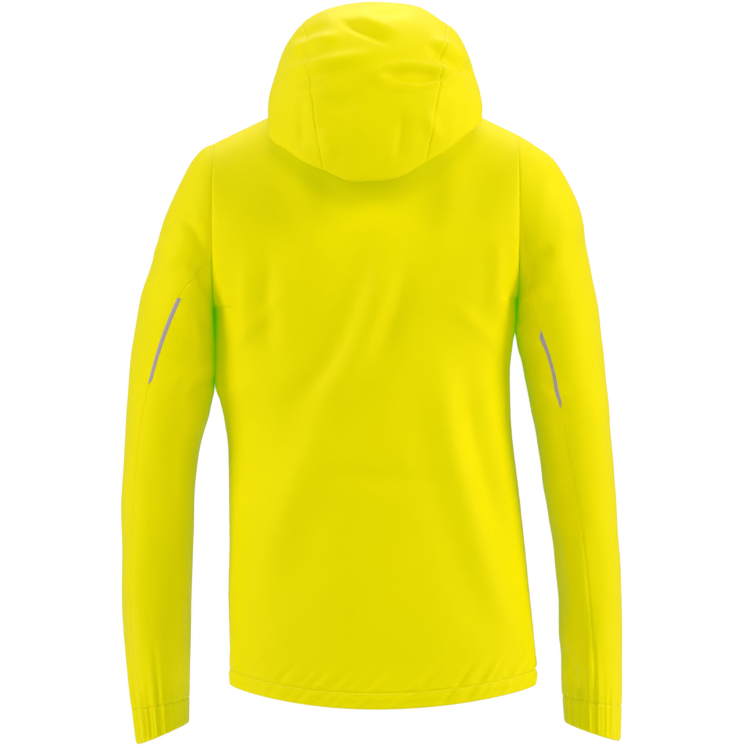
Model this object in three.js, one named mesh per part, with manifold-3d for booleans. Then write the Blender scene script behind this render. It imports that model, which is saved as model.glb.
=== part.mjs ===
// A hooded hardshell jacket, hanging filled out as it is when worn. Millimetres, +Z up.
// +X is the wearer's left, the front and its zip face -Y, and z = 0 is the lowest point of the cuffs.
import * as THREE from 'three';
import { mergeVertices } from 'three/addons/utils/BufferGeometryUtils.js';
import Module from 'manifold-3d';

const wasm = await Module();
wasm.setup();

// Overall sizes.
const sleeveLength = 714;        // height of the left shoulder end above the lowest cuff
const bodyLength = 668;          // height of the left shoulder end above the centre of the back hem
const chestWidth = 358.5;        // from one armhole plane to the other
const chestShareLeft = 0.53;     // part of the chest width on the wearer's left of the zip
const armholeHeight = 194;
const armholeDepth = 160;        // front to back
const backDepth = { hem: 118, waist: 117, chest: 124 };   // centre back behind the zip's middle plane
const zipDepth = { hem: 124, chin: 100 };                  // zip in front of the same plane
const neckWidth = 158;
const neckBack = 63;
const hoodWidth = 248;
const hoodHeight = 112;          // crown above the side of the neck

// Cloth, seams and trims.
const cloth = 1.2;               // outer fabric, its membrane and its backing, as one layer
const seamGap = 0.6;             // between two panels that meet at a seam
const hemDrop = 28;              // how much lower the centre back hem is than the side seams
const frontHemRise = 10;         // how much higher the front hem is than the side seams
const hemBand = 19;              // height of the hem channel
const cuffBand = 24;             // height of the cuff band
const foldWall = 0.8;            // one wall of a folded hem or cuff
const hemRoom = 3.2;             // between the hem channel's two walls
const cuffRoom = 2.4;
const drawcordDiameter = 2.2;
const elasticThickness = 1.2;
const elasticMargin = 3;         // between the elastic and the cuff band's edges
const stripWidth = 5;
const stripThickness = 0.5;

// Zips.
const zipEdge = 6.5;             // from the zip's middle to the edge of the front panel
const tapeWidth = 14;
const tapeThickness = 0.8;
const tapeMeeting = 0.4;         // from the zip's middle to the edge of each tape
const coilWidth = 2.4;
const coilDepth = 1.6;
const sliderWidth = 10;
const sliderLength = 15;
const sliderPlate = 1.6;
const pullerLength = 26;
const pullerWidth = 7;
const slideGap = 0.4;            // running clearance of a slider
const pocketZipLength = 160;
const pocketSlot = 9;            // width of the pocket opening
const pocketPlace = { share: 0.7, low: 91 };    // across the front panel, and up from the side hem

// Colours.
const yellowCloth = { color: 0xe4e400, roughness: 0.55, metalness: 0 };
const greyLining = { color: 0x9fa3a6, roughness: 0.85, metalness: 0 };
const yellowTape = { color: 0xd6da00, roughness: 0.5, metalness: 0 };
const coilPlastic = { color: 0xc9cc10, roughness: 0.4, metalness: 0 };
const sliderMetal = { color: 0x8f9296, roughness: 0.35, metalness: 0.9 };
const pullerPlastic = { color: 0xd9dc00, roughness: 0.45, metalness: 0 };
const elasticYarn = { color: 0xe8e8e0, roughness: 0.9, metalness: 0 };
const lockPlastic = { color: 0x3a3c3e, roughness: 0.5, metalness: 0 };
const springSteel = { color: 0xb8bcc0, roughness: 0.3, metalness: 1 };
const reflective = { color: 0xb2a3a6, roughness: 0.4, metalness: 0.2 };

const { clamp, lerp, degToRad, radToDeg } = THREE.MathUtils;
const vec = (x, y, z) => new THREE.Vector3(x, y, z);
const sides = { left: 1, right: -1 };
const jacket = new THREE.Group();

function add(name, geometry, finish, parent = jacket) {
  const mesh = new THREE.Mesh(geometry, new THREE.MeshStandardMaterial(finish));
  mesh.name = name;
  parent.add(mesh);
  return mesh;
}

// A smooth curve through a few [place, value] pairs: a cubic between neighbours, whose slope at each pair
// comes from the pairs on both sides of it.
function through(pairs, place) {
  const last = pairs.length - 1;
  const at = clamp(place, pairs[0][0], pairs[last][0]);
  let i = 0;
  while (i < last - 1 && at > pairs[i + 1][0]) i += 1;
  const slope = (k) => {
    const before = pairs[Math.max(k - 1, 0)];
    const after = pairs[Math.min(k + 1, last)];
    return (after[1] - before[1]) / (after[0] - before[0]);
  };
  const span = pairs[i + 1][0] - pairs[i][0];
  const s = (at - pairs[i][0]) / span;
  const start = pairs[i][1] * (2 * s ** 3 - 3 * s ** 2 + 1) + slope(i) * span * (s ** 3 - 2 * s ** 2 + s);
  const end = pairs[i + 1][1] * (3 * s ** 2 - 2 * s ** 3) + slope(i + 1) * span * (s ** 3 - s ** 2);
  return start + end;
}

// 0 at low and 1 at high, easing in between; low may be the larger of the two.
function smooth(low, high, value) {
  const s = clamp((value - low) / (high - low), 0, 1);
  return s * s * (3 - 2 * s);
}

// Solids from rows of points.

// Turns the faces outwards, whichever way round the rows were given.
function closedGeometry(points, faces) {
  let volume = 0;
  const cross = vec(0, 0, 0);
  for (const [a, b, c] of faces) {
    cross.crossVectors(points[b], points[c]);
    volume += points[a].dot(cross);
  }
  const ordered = volume < 0 ? faces.map(([a, b, c]) => [a, c, b]) : faces;
  const geometry = new THREE.BufferGeometry();
  geometry.setAttribute('position', new THREE.Float32BufferAttribute(points.flatMap((p) => p.toArray()), 3));
  geometry.setIndex(ordered.flat());
  return geometry;
}

// A sheet of cloth: the skin's points at each [i][j], and the same grid one thickness further in, closed
// along its edges.
function sheetSolid(skin, columns, rows, thickness) {
  const points = [];
  for (const depth of [0, thickness]) {
    for (const column of columns) {
      for (const row of rows) points.push(skin(column, row, depth));
    }
  }
  const nu = columns.length;
  const nv = rows.length;
  const index = (layer, i, j) => layer * nu * nv + i * nv + j;
  const faces = [];
  const quad = (a, b, c, d) => faces.push([a, b, c], [a, c, d]);
  for (let i = 0; i < nu - 1; i += 1) {
    for (let j = 0; j < nv - 1; j += 1) {
      quad(index(0, i, j), index(0, i + 1, j), index(0, i + 1, j + 1), index(0, i, j + 1));
      quad(index(1, i, j), index(1, i, j + 1), index(1, i + 1, j + 1), index(1, i + 1, j));
    }
  }
  for (let i = 0; i < nu - 1; i += 1) {
    quad(index(0, i, 0), index(1, i, 0), index(1, i + 1, 0), index(0, i + 1, 0));
    quad(index(0, i, nv - 1), index(0, i + 1, nv - 1), index(1, i + 1, nv - 1), index(1, i, nv - 1));
  }
  for (let j = 0; j < nv - 1; j += 1) {
    quad(index(0, 0, j), index(0, 0, j + 1), index(1, 0, j + 1), index(1, 0, j));
    quad(index(0, nu - 1, j), index(1, nu - 1, j), index(1, nu - 1, j + 1), index(0, nu - 1, j + 1));
  }
  return closedGeometry(points, faces);
}

// A profile carried along stations: rings of equal length, joined in order, closed on themselves or capped.
function ringSolid(rings, profile, closed) {
  const count = profile.length;
  const points = rings.flat();
  const faces = [];
  const steps = closed ? rings.length : rings.length - 1;
  for (let i = 0; i < steps; i += 1) {
    const next = (i + 1) % rings.length;
    for (let j = 0; j < count; j += 1) {
      const beside = (j + 1) % count;
      faces.push([i * count + j, next * count + j, next * count + beside]);
      faces.push([i * count + j, next * count + beside, i * count + beside]);
    }
  }
  if (!closed) {
    const ends = THREE.ShapeUtils.triangulateShape(profile.map(([x, y]) => new THREE.Vector2(x, y)), []);
    const turned = THREE.ShapeUtils.isClockWise(profile.map(([x, y]) => new THREE.Vector2(x, y)));
    const far = (rings.length - 1) * count;
    for (const [a, b, c] of ends) {
      faces.push(turned ? [a, c, b] : [a, b, c]);
      faces.push(turned ? [far + a, far + b, far + c] : [far + c, far + b, far + a]);
    }
  }
  return closedGeometry(points, faces);
}

const circleProfile = (radius, count) => Array.from({ length: count }, (_, k) => {
  const angle = (2 * Math.PI * k) / count;
  return [radius * Math.cos(angle), radius * Math.sin(angle)];
});

const spread = (from, to, count) => Array.from({ length: count + 1 }, (_, k) => lerp(from, to, k / count));

function toManifold(geometry) {
  const plain = geometry.clone();
  plain.deleteAttribute('normal');
  plain.deleteAttribute('uv');
  const merged = mergeVertices(plain, 1e-4);
  return new wasm.Manifold(new wasm.Mesh({
    numProp: 3,
    vertProperties: Float32Array.from(merged.attributes.position.array),
    triVerts: Uint32Array.from(merged.index.array),
  }));
}

function fromManifold(solid) {
  const mesh = solid.getMesh();
  const geometry = new THREE.BufferGeometry();
  geometry.setAttribute('position', new THREE.Float32BufferAttribute(mesh.vertProperties, 3));
  geometry.setIndex(Array.from(mesh.triVerts));
  return geometry;
}

const cut = (geometry, ...tools) => fromManifold(
  tools.reduce((solid, tool) => solid.subtract(toManifold(tool)), toManifold(geometry)),
);
const join = (...pieces) => fromManifold(
  pieces.slice(1).reduce((solid, piece) => solid.add(toManifold(piece)), toManifold(pieces[0])),
);

// Heights and widths that the panels share.
const armholeX = { left: chestWidth * chestShareLeft, right: chestWidth * (1 - chestShareLeft) };
const shoulderSlope = 0.48;
const neckSideZ = sleeveLength + shoulderSlope * (armholeX.left - neckWidth / 2);
const armholeTop = (side) => neckSideZ - shoulderSlope * (armholeX[side] - neckWidth / 2);
const pitZ = (side) => armholeTop(side) - armholeHeight;
const hemBackZ = sleeveLength - bodyLength;
const hemSideZ = hemBackZ + hemDrop;
const hemFrontZ = hemSideZ + frontHemRise;
const collarRise = 66;
const neckFrontZ = neckSideZ - 63;
const chinZ = neckFrontZ + collarRise;

// The zip's line: straight, leaning back a little towards the chin.
const zipY = (z) => -lerp(zipDepth.hem, zipDepth.chin, (z - hemFrontZ) / (chinZ - hemFrontZ));
const zipLean = Math.atan2(zipDepth.hem - zipDepth.chin, chinZ - hemFrontZ);

// The side seams, as shares of the chest width against shares of the height from hem to armpit.
const sideSeam = {
  left: [[0, 0.48], [0.62, 0.484], [0.7, 0.497], [0.79, 0.514], [1, 0.52]],
  right: [[0, 0.533], [0.1, 0.529], [0.39, 0.491], [0.63, 0.457], [0.8, 0.442], [0.9, 0.449], [1, 0.458]],
};

// How far a place lies from the middle towards the end of a half width, with a flat strip behind the zip.
const flatHalf = tapeWidth + 3;
function offMiddle(x, half, face) {
  const flat = face < 0 ? flatHalf : 0;
  return clamp((Math.abs(x) - flat) / (half - flat), 0, 1);
}

const neckRingZ = (x, face) => {
  const middle = 1 - clamp(Math.abs(x) / (neckWidth / 2), 0, 1) ** 2;
  return face > 0 ? neckSideZ - 18 * middle : lerp(neckSideZ, neckFrontZ, middle ** 0.8);
};
const neckRingY = (x, face) => {
  const middle = Math.sqrt(1 - offMiddle(x, neckWidth / 2, face) ** 2);
  return face > 0 ? neckBack * middle : zipY(neckFrontZ) * middle;
};

// The torso's skin. face is +1 for the back and -1 for the front. across runs from -1 (the wearer's right
// side) to 1, as an ellipse's sine. up runs 0..1 from the hem to the armpit and 1..2 on to the shoulder,
// where each column is half of the armhole's ellipse at the side and a rounded slope in the middle.
function torsoPoint(face, across, up, hemLift = 0) {
  const side = across >= 0 ? 'left' : 'right';
  const sign = sides[side];
  const share = Math.abs(across);
  const hemZ = (face > 0 ? hemBackZ : hemFrontZ) * (1 - share ** 2) + hemSideZ * share ** 2 + hemLift;
  const lowZ = lerp(hemZ, pitZ(side), clamp(up, 0, 1));
  const seam = chestWidth * through(sideSeam[side], (lowZ - hemSideZ) / (pitZ(side) - hemSideZ));
  const rise = clamp(up - 1, 0, 1);
  const half = lerp(seam, armholeX[side], smooth(0, 0.2, rise));
  const topX = share * armholeX[side];
  const inNeck = topX < neckWidth / 2;
  const topZ = inNeck ? neckRingZ(topX, face) : neckSideZ - shoulderSlope * (topX - neckWidth / 2);
  const topY = inNeck ? neckRingY(topX, face) * face : 0;
  const climb = (1 - Math.cos(Math.PI * rise)) / 2;
  const z = lerp(lowZ, topZ, climb);
  const back = through([[0, backDepth.hem], [0.45, backDepth.waist], [1, backDepth.chest]], up / 1.2);
  const middle = face > 0 ? back : -zipY(z);
  const fallen = topY + (middle - topY) * (1 - climb ** 1.8) ** 0.6;
  const middleY = inNeck && face < 0 ? lerp(fallen, lerp(middle, topY, climb ** 3), 1 - share) : fallen;
  const edgeY = (armholeDepth / 2) * Math.sin(Math.PI * rise);
  const bulge = Math.max(1 - offMiddle(share * half, half, face) ** 2, 0) ** 0.46;
  return vec(sign * share * half, face * (edgeY * share ** 8 + middleY * bulge), z);
}

// Moves a point of a skin inwards along the skin's normal, found from its neighbours on the surface.
function inset(skin, u, v, depth, inwards, step = 1e-3) {
  const here = skin(u, v);
  if (depth === 0) return here;
  const du = skin(u + step, v).sub(skin(u - step, v));
  const dv = skin(u, v + step).sub(skin(u, v - step));
  const normal = du.cross(dv).normalize();
  const towards = inwards(here).sub(here);
  if (normal.dot(towards) < 0) normal.negate();
  return here.addScaledVector(normal, depth);
}

const torsoMiddle = (point) => vec(point.x * 0.3, 0, Math.min(point.z, pitZ('left') + 40));

// turn runs from -1 to 1 in even steps around the torso's ellipse.
const torsoSkin = (face, lift) => (turn, up) => torsoPoint(face, Math.sin((Math.PI / 2) * turn), up, lift);

const panelLift = hemBand + seamGap;
const quarterRound = 157;        // length of a torso panel's skin from its middle to the side seam
const sideTurn = (gap) => 1 - gap / quarterRound;
const neckTurn = (side) => Math.asin(neckWidth / 2 / armholeX[side]) / (Math.PI / 2);
const torsoRows = [...spread(0, 1, 7).slice(0, -1), ...spread(1, 2 - 0.004, 8)];

function torsoTurns(side, from) {
  const corner = neckTurn(side);
  const inner = spread(from, corner, 4);
  const outer = spread(corner, sideTurn(seamGap), 5).slice(1);
  return [...inner, ...outer].map((turn) => turn * sides[side]);
}

function torsoPanel(face, turns) {
  const skin = torsoSkin(face, panelLift);
  const point = (turn, up, depth) => inset(skin, turn, up, depth, torsoMiddle);
  return sheetSolid(point, turns, torsoRows, cloth);
}

const backTurns = [...torsoTurns('right', 0).reverse(), ...torsoTurns('left', 0).slice(1)];
add('back_panel', torsoPanel(1, backTurns), yellowCloth);

// The pocket zips lie on straight lines in the lower front panels.
const zipTurn = (side) => Math.asin(zipEdge / (chestWidth * 0.48)) / (Math.PI / 2);

function pocketFrame(side) {
  const skin = torsoSkin(-1, 0);
  const turn = (Math.asin(pocketPlace.share) / (Math.PI / 2)) * sides[side];
  const upAt = (z) => {
    let up = 0.5;
    for (let k = 0; k < 30; k += 1) up += (z - skin(turn, up).z) / 500;
    return up;
  };
  const lowZ = hemSideZ + pocketPlace.low;
  const low = skin(turn, upAt(lowZ));
  const high = skin(turn, upAt(lowZ + pocketZipLength));
  const middle = low.clone().add(high).multiplyScalar(0.5);
  const upAxis = high.clone().sub(low).normalize();
  const edge = skin(turn + 0.01, upAt(middle.z)).sub(skin(turn - 0.01, upAt(middle.z)));
  const inAxis = edge.cross(upAxis).normalize();
  if (inAxis.y < 0) inAxis.negate();
  const frame = new THREE.Group();
  frame.matrix.makeBasis(inAxis.clone().cross(upAxis), inAxis, upAxis).setPosition(middle);
  frame.matrix.decompose(frame.position, frame.quaternion, frame.scale);
  jacket.add(frame);
  frame.updateMatrix();
  return frame;
}

const pocketFrames = { left: pocketFrame('left'), right: pocketFrame('right') };

for (const side of ['left', 'right']) {
  const panel = torsoPanel(-1, torsoTurns(side, zipTurn(side)));
  const slot = new THREE.BoxGeometry(pocketSlot, 14, pocketZipLength).applyMatrix4(pocketFrames[side].matrix);
  add(`front_panel_${side}`, cut(panel, slot), yellowCloth);
}

// The hem channel is folded cloth: an outer and an inner wall joined at the bottom, with a cord between.
const hemDepth = 2 * foldWall + hemRoom;
const hemStations = [
  ...torsoTurns('left', zipTurn('left')).map((turn) => [-1, turn]),
  ...[...torsoTurns('left', 0)].reverse().map((turn) => [1, turn]),
  ...torsoTurns('right', 0).slice(1).map((turn) => [1, turn]),
  ...[...torsoTurns('right', zipTurn('right'))].reverse().map((turn) => [-1, turn]),
];

// A point beside the hem: how far round, how high above the hem's edge, and how far in from the skin.
function hemPoint([face, turn], height, depth) {
  return inset(torsoSkin(face, height), turn, 0, depth, torsoMiddle);
}

const hemProfile = [
  [0, 0], [hemBand, 0], [hemBand, foldWall], [foldWall, foldWall],
  [foldWall, hemDepth - foldWall], [hemBand, hemDepth - foldWall], [hemBand, hemDepth], [0, hemDepth],
];
const hemRings = hemStations.map((station) => hemProfile.map(([h, d]) => hemPoint(station, h, d)));

// Where the cord leaves the channel inside the jacket, near the side seams, it passes through a cord lock.
const lockRadius = 6.5;
const lockBelow = 9.7;           // the barrel below and above the cord that runs through it
const lockAbove = 8;
const lockWall = 1.3;
const lockTravel = 2.5;
const lockStation = 7;           // stations in from the zip
const lockHeightOverHem = 12;
const cordHoleRadius = drawcordDiameter / 2 + 0.6;
const wallGap = 0.3;

function lockPlace(side) {
  const index = side === 'left' ? lockStation : hemStations.length - 1 - lockStation;
  const station = hemStations[index];
  const onSkin = hemPoint(station, lockHeightOverHem, 0);
  const inside = hemPoint(station, lockHeightOverHem, 1).sub(onSkin).setZ(0).normalize();
  const centre = onSkin.clone().addScaledVector(inside, hemDepth + wallGap + lockRadius + 1.2);
  return { index, onSkin, inside, centre };
}

const locks = { left: lockPlace('left'), right: lockPlace('right') };

function rodBetween(from, to, radius, sidesCount = 16) {
  const along = to.clone().sub(from);
  const rod = new THREE.CylinderGeometry(radius, radius, along.length(), sidesCount);
  const turn = new THREE.Quaternion().setFromUnitVectors(vec(0, 1, 0), along.clone().normalize());
  return rod.applyQuaternion(turn).translate(...from.clone().add(to).multiplyScalar(0.5).toArray());
}

function eyelet({ onSkin, inside }) {
  const from = onSkin.clone().addScaledVector(inside, foldWall + 0.6);
  return rodBetween(from, onSkin.clone().addScaledVector(inside, hemDepth + 3), cordHoleRadius + 1.5);
}

const foldedHem = ringSolid(hemRings, hemProfile, false);
add('hem_channel', cut(foldedHem, eyelet(locks.left), eyelet(locks.right)), yellowCloth);

// The drawcord follows the channel round the back between the two locks, then turns in through each eyelet.
function drawcord() {
  const section = circleProfile(drawcordDiameter / 2, 8);
  const depth = foldWall + hemRoom / 2;
  const path = [];
  const inwards = ({ onSkin, inside, centre }, extra) => {
    const reach = centre.clone().sub(onSkin).dot(inside);
    const depths = [depth, depth + 3, reach, reach + lockRadius + extra];
    return depths.map((d) => onSkin.clone().addScaledVector(inside, d));
  };
  path.push(...inwards(locks.left, 6).reverse());
  for (let k = locks.left.index + 1; k < locks.right.index; k += 1) {
    path.push(hemPoint(hemStations[k], lockHeightOverHem, depth));
  }
  path.push(...inwards(locks.right, 6));
  const rings = path.map((point, k) => {
    const along = path[Math.min(k + 1, path.length - 1)].clone().sub(path[Math.max(k - 1, 0)]).normalize();
    const out = vec(0, 0, 1).cross(along).normalize();
    const rise = along.clone().cross(out);
    return section.map(([a, b]) => point.clone().addScaledVector(out, a).addScaledVector(rise, b));
  });
  return ringSolid(rings, section, false);
}

add('hem_drawcord', drawcord(), elasticYarn);

// A cord lock: a barrel, a spring at its bottom, and a button that the spring pushes up against the cord.
const lathe = (profile, segments = 16) => {
  const points = profile.map(([r, z]) => new THREE.Vector2(r, z));
  return new THREE.LatheGeometry(points, segments).rotateX(Math.PI / 2);
};

function helixSolid(radius, wire, height, turns) {
  const section = circleProfile(wire, 6);
  const steps = turns * 10;
  const rings = spread(0, 1, steps).map((s) => {
    const angle = 2 * Math.PI * turns * s;
    const centre = vec(radius * Math.cos(angle), radius * Math.sin(angle), height * s);
    const out = vec(Math.cos(angle), Math.sin(angle), 0);
    return section.map(([a, b]) => centre.clone().addScaledVector(out, a).add(vec(0, 0, b)));
  });
  return ringSolid(rings, section, false);
}

for (const side of ['left', 'right']) {
  const { centre, inside } = locks[side];
  const low = -lockBelow;
  const high = lockAbove;
  const floorTop = low + lockWall;
  const bore = lockRadius - lockWall;
  const barrel = lathe([
    [0, low], [lockRadius - 1, low], [lockRadius, low + 1], [lockRadius, high],
    [bore, high], [bore, floorTop], [0, floorTop],
  ]);
  const stem = bore - wallGap;
  const stemLow = -cordHoleRadius - 2.2;
  const button = lathe([
    [0, stemLow], [stem, stemLow], [stem, high + lockTravel + 1.5], [stem - 1.2, high + lockTravel + 2.7],
    [0, high + lockTravel + 2.7],
  ]);
  const reach = inside.clone().multiplyScalar(lockRadius + 3);
  const hole = rodBetween(reach.clone().negate(), reach, cordHoleRadius);
  const slotTop = hole.clone().translate(0, 0, lockTravel);
  const middleSlot = hole.clone().translate(0, 0, lockTravel / 2);
  const holder = new THREE.Group();
  holder.position.copy(centre);
  jacket.add(holder);
  add(`cord_lock_barrel_${side}`, cut(barrel, hole), lockPlastic, holder);
  add(`cord_lock_button_${side}`, cut(button, hole, middleSlot, slotTop), lockPlastic, holder);
  const springWire = 0.3;
  const springRoom = stemLow - floorTop - 2 * wallGap - 2 * springWire;
  const spring = helixSolid(bore - 1.6, springWire, springRoom, 2.5);
  spring.translate(0, 0, floorTop + wallGap + springWire);
  add(`cord_lock_spring_${side}`, spring, springSteel, holder);
}

// Sleeves. Each ring of a sleeve lies between a point of its outer line and one of its inner line, both
// given as [share of the sleeve, beyond the armhole plane, share of the height of the armhole's top or of
// its lowest point].
const sleeveLines = {
  left: {
    outer: [
      [0, 0, 1], [0.03, 15, 0.989], [0.06, 30, 0.963], [0.12, 51, 0.903], [0.2, 66, 0.839], [0.32, 84, 0.741],
      [0.45, 98, 0.613], [0.6, 107, 0.476], [0.75, 110, 0.329], [0.9, 108, 0.168], [1, 94, 0],
    ],
    inner: [
      [0, 0, 1], [0.06, 0.7, 0.9708], [0.12, 0.3, 0.9378], [0.2, -0.6, 0.8939], [0.32, -1, 0.817],
      [0.45, 13, 0.7154], [0.6, 22.5, 0.6], [0.75, 27, 0.4188], [0.9, 30, 0.2224], [1, 32, 0.0481],
    ],
    backSeam: [[0, 118], [0.13, 98], [0.21, 85], [0.43, 65], [0.55, 57], [0.7, 51], [1, 40]],
    strip: [0.215, 0.435],
  },
  right: {
    outer: [
      [0, 0, 1], [0.03, 21, 0.9818], [0.06, 43, 0.9581], [0.12, 68, 0.897], [0.2, 80, 0.828],
      [0.32, 92, 0.7304], [0.45, 103, 0.6072], [0.6, 111, 0.4761], [0.75, 120, 0.3381],
      [0.9, 126, 0.1725], [1, 124, 0.0059],
    ],
    inner: [
      [0, 0, 1], [0.06, -0.7, 0.9694], [0.12, -1.7, 0.9424], [0.2, -1.5, 0.9101], [0.32, 8, 0.8374],
      [0.45, 19.5, 0.7257], [0.6, 31.5, 0.583], [0.75, 41.5, 0.4429], [0.9, 51.5, 0.2302],
      [1, 58.5, 0.0471],
    ],
    backSeam: [[0, 128], [0.26, 119], [0.45, 108], [0.7, 98], [1, 88]],
    strip: [0.26, 0.455],
  },
};
const sleeveDepth = [[0, 1], [0.12, 1], [0.2, 0.985], [0.32, 0.95], [0.45, 0.87], [0.6, 0.78], [0.75, 0.71],
  [0.9, 0.63], [1, 0.53]];
const sleeveBend = [[0, 0], [0.3, 0], [0.5, -3], [0.75, -16], [1, -38]];
const frontSeamAngle = -100;
const sleeveRadius = 60;         // of a sleeve's round, where its seams run
const armholeGap = cloth / 2;     // between the body's and the sleeve's edge at the armhole

// angle is 0 on the sleeve's outer line, 90 at its back and 180 on its inner line.
function sleevePoint(side, along, angle) {
  const lines = sleeveLines[side];
  const place = (line, endZ) => {
    const beyond = through(line.map(([t, x]) => [t, x]), along);
    const height = through(line.map(([t, , z]) => [t, z]), along);
    return [armholeX[side] + armholeGap + beyond, height * endZ];
  };
  const [outX, outZ] = place(lines.outer, armholeTop(side));
  const [inX, inZ] = place(lines.inner, pitZ(side));
  const turn = degToRad(angle);
  const half = (armholeDepth / 2) * through(sleeveDepth, along);
  const x = (outX + inX) / 2 + ((outX - inX) / 2) * Math.cos(turn);
  const z = (outZ + inZ) / 2 + ((outZ - inZ) / 2) * Math.cos(turn);
  return vec(sides[side] * x, through(sleeveBend, along) + half * Math.sin(turn), z);
}

const sleeveSkin = (side) => (along, angle) => sleevePoint(side, along, angle);

function sleeveMiddle(side, along) {
  return sleevePoint(side, along, 0).add(sleevePoint(side, along, 180)).multiplyScalar(0.5);
}

function sleeveInset(side, along, angle, depth) {
  const middle = sleeveMiddle(side, clamp(along, 0, 1));
  const safe = clamp(along, 0.004, 0.996);
  const moved = inset(sleeveSkin(side), safe, angle, depth, () => middle, 2e-3);
  return moved.add(sleevePoint(side, along, angle)).sub(sleevePoint(side, safe, angle));
}

const cuffShare = 1 - cuffBand / sleeveLength;
const sleeveRows = [0, 0.03, 0.06, 0.09, 0.12, 0.16, ...spread(0.2, cuffShare - seamGap / sleeveLength, 9)];

function sleevePanel(side, angleFrom, angleTo, count) {
  const edge = radToDeg(seamGap / 2 / sleeveRadius);
  const point = (share, along, depth) => {
    const from = angleFrom(along) + edge;
    const to = angleTo(along) - edge;
    return sleeveInset(side, along, lerp(from, to, share), depth);
  };
  return sheetSolid(point, spread(0, 1, count), sleeveRows, cloth);
}

for (const side of ['left', 'right']) {
  const { backSeam, strip } = sleeveLines[side];
  const seam = (along) => through(backSeam, along);
  add(`sleeve_outer_${side}`, sleevePanel(side, () => frontSeamAngle, seam, 8), yellowCloth);
  add(`sleeve_under_${side}`, sleevePanel(side, seam, () => 360 + frontSeamAngle, 7), yellowCloth);

  const stripPoint = (share, along, depth) => {
    const angle = seam(along) + radToDeg(((share - 0.5) * stripWidth) / sleeveRadius);
    return sleeveInset(side, along, angle, depth - stripThickness - wallGap);
  };
  const stripSolid = sheetSolid(stripPoint, [0, 1], spread(...strip, 6), stripThickness);
  add(`reflective_strip_${side}`, stripSolid, reflective);

  const cuffAngles = spread(0, 360, 20).slice(0, -1);
  const wallShare = foldWall / sleeveLength;
  const cuffDepth = 2 * foldWall + cuffRoom;
  const cuffProfile = [
    [cuffShare, 0], [1, 0], [1, cuffDepth], [cuffShare, cuffDepth], [cuffShare, cuffDepth - foldWall],
    [1 - wallShare, cuffDepth - foldWall], [1 - wallShare, foldWall], [cuffShare, foldWall],
  ];
  const cuffRing = (profile, angle) => profile.map(([t, depth]) => sleeveInset(side, t, angle, depth));
  const cuffRings = (profile) => cuffAngles.map((angle) => cuffRing(profile, angle));
  add(`cuff_${side}`, ringSolid(cuffRings(cuffProfile), cuffProfile, true), yellowCloth);
  const elasticIn = foldWall + (cuffRoom - elasticThickness) / 2;
  const elasticOut = elasticIn + elasticThickness;
  const elasticEnds = [cuffShare + elasticMargin / sleeveLength, 1 - elasticMargin / sleeveLength];
  const elasticProfile = [
    [elasticEnds[0], elasticIn], [elasticEnds[1], elasticIn],
    [elasticEnds[1], elasticOut], [elasticEnds[0], elasticOut],
  ];
  add(`cuff_elastic_${side}`, ringSolid(cuffRings(elasticProfile), elasticProfile, true), elasticYarn);
}

// The hood: arches from the face opening over the crown to the pouch that hangs over the back, and under it
// back to the neck seam. Each arch runs from the neck seam at the side to the middle, as [x, y, z] with x as
// a share of half the hood's width, y in millimetres and z above the neck's side as a share of the height.
const hoodSeat = 1.2;            // the hood's seam stands this far above the neck edge
const hoodOut = 1.02;            // and a little outside it
const onNeck = (x, face) => [
  (hoodOut * x) / (hoodWidth / 2), hoodOut * neckRingY(x, face),
  (neckRingZ(x, face) + hoodSeat - neckSideZ) / hoodHeight,
];
const neckHalf = neckWidth / 2;
const hoodArches = [
  [onNeck(neckHalf * 0.66, -1), [0.74, -92, -0.06], [0.84, -90, 0.28],
    [0.66, -82, 0.7], [0.35, -75, 0.87], [0, -72, 0.92]],
  [onNeck(neckHalf * 0.9, -1), [0.87, -46, -0.05], [0.92, -40, 0.3],
    [0.74, -36, 0.71], [0.39, -33, 0.94], [0, -32, 0.985]],
  [onNeck(neckHalf, 1), [0.98, 8, -0.04], [0.93, 14, 0.29],
    [0.75, 20, 0.7], [0.42, 23, 0.93], [0, 24, 1]],
  [onNeck(neckHalf * 0.985, 1), [1, 38, -0.14], [0.91, 64, 0.14],
    [0.71, 82, 0.46], [0.38, 93, 0.68], [0, 97, 0.75]],
  [onNeck(neckHalf * 0.93, 1), [0.99, 64, -0.29], [0.88, 100, -0.2],
    [0.65, 126, -0.06], [0.34, 140, 0.04], [0, 145, 0.08]],
  [onNeck(neckHalf * 0.84, 1), [0.975, 84, -0.41], [0.78, 116, -0.61],
    [0.53, 138, -0.77], [0.27, 149, -0.87], [0, 153, -0.9]],
  [onNeck(neckHalf * 0.73, 1), [0.82, 90, -0.38], [0.65, 112, -0.56],
    [0.44, 124, -0.68], [0.22, 131, -0.74], [0, 133, -0.76]],
  [onNeck(neckHalf * 0.66, 1), [0.68, 86, -0.26], [0.52, 98, -0.35],
    [0.35, 106, -0.38], [0.18, 109, -0.39], [0, 110, -0.39]],
  [0.6, 0.5, 0.38, 0.26, 0.13, 0].map((share) => onNeck(neckHalf * share, 1)),
];
const hoodSkew = 0.15;           // the pouch's right half lies higher than its left

// Catmull-Rom weights of the four values around a place between the second and the third.
function splineWeights(s) {
  return [
    (-s + 2 * s ** 2 - s ** 3) / 2, (2 - 5 * s ** 2 + 3 * s ** 3) / 2,
    (s + 4 * s ** 2 - 3 * s ** 3) / 2, (-(s ** 2) + s ** 3) / 2,
  ];
}

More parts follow.
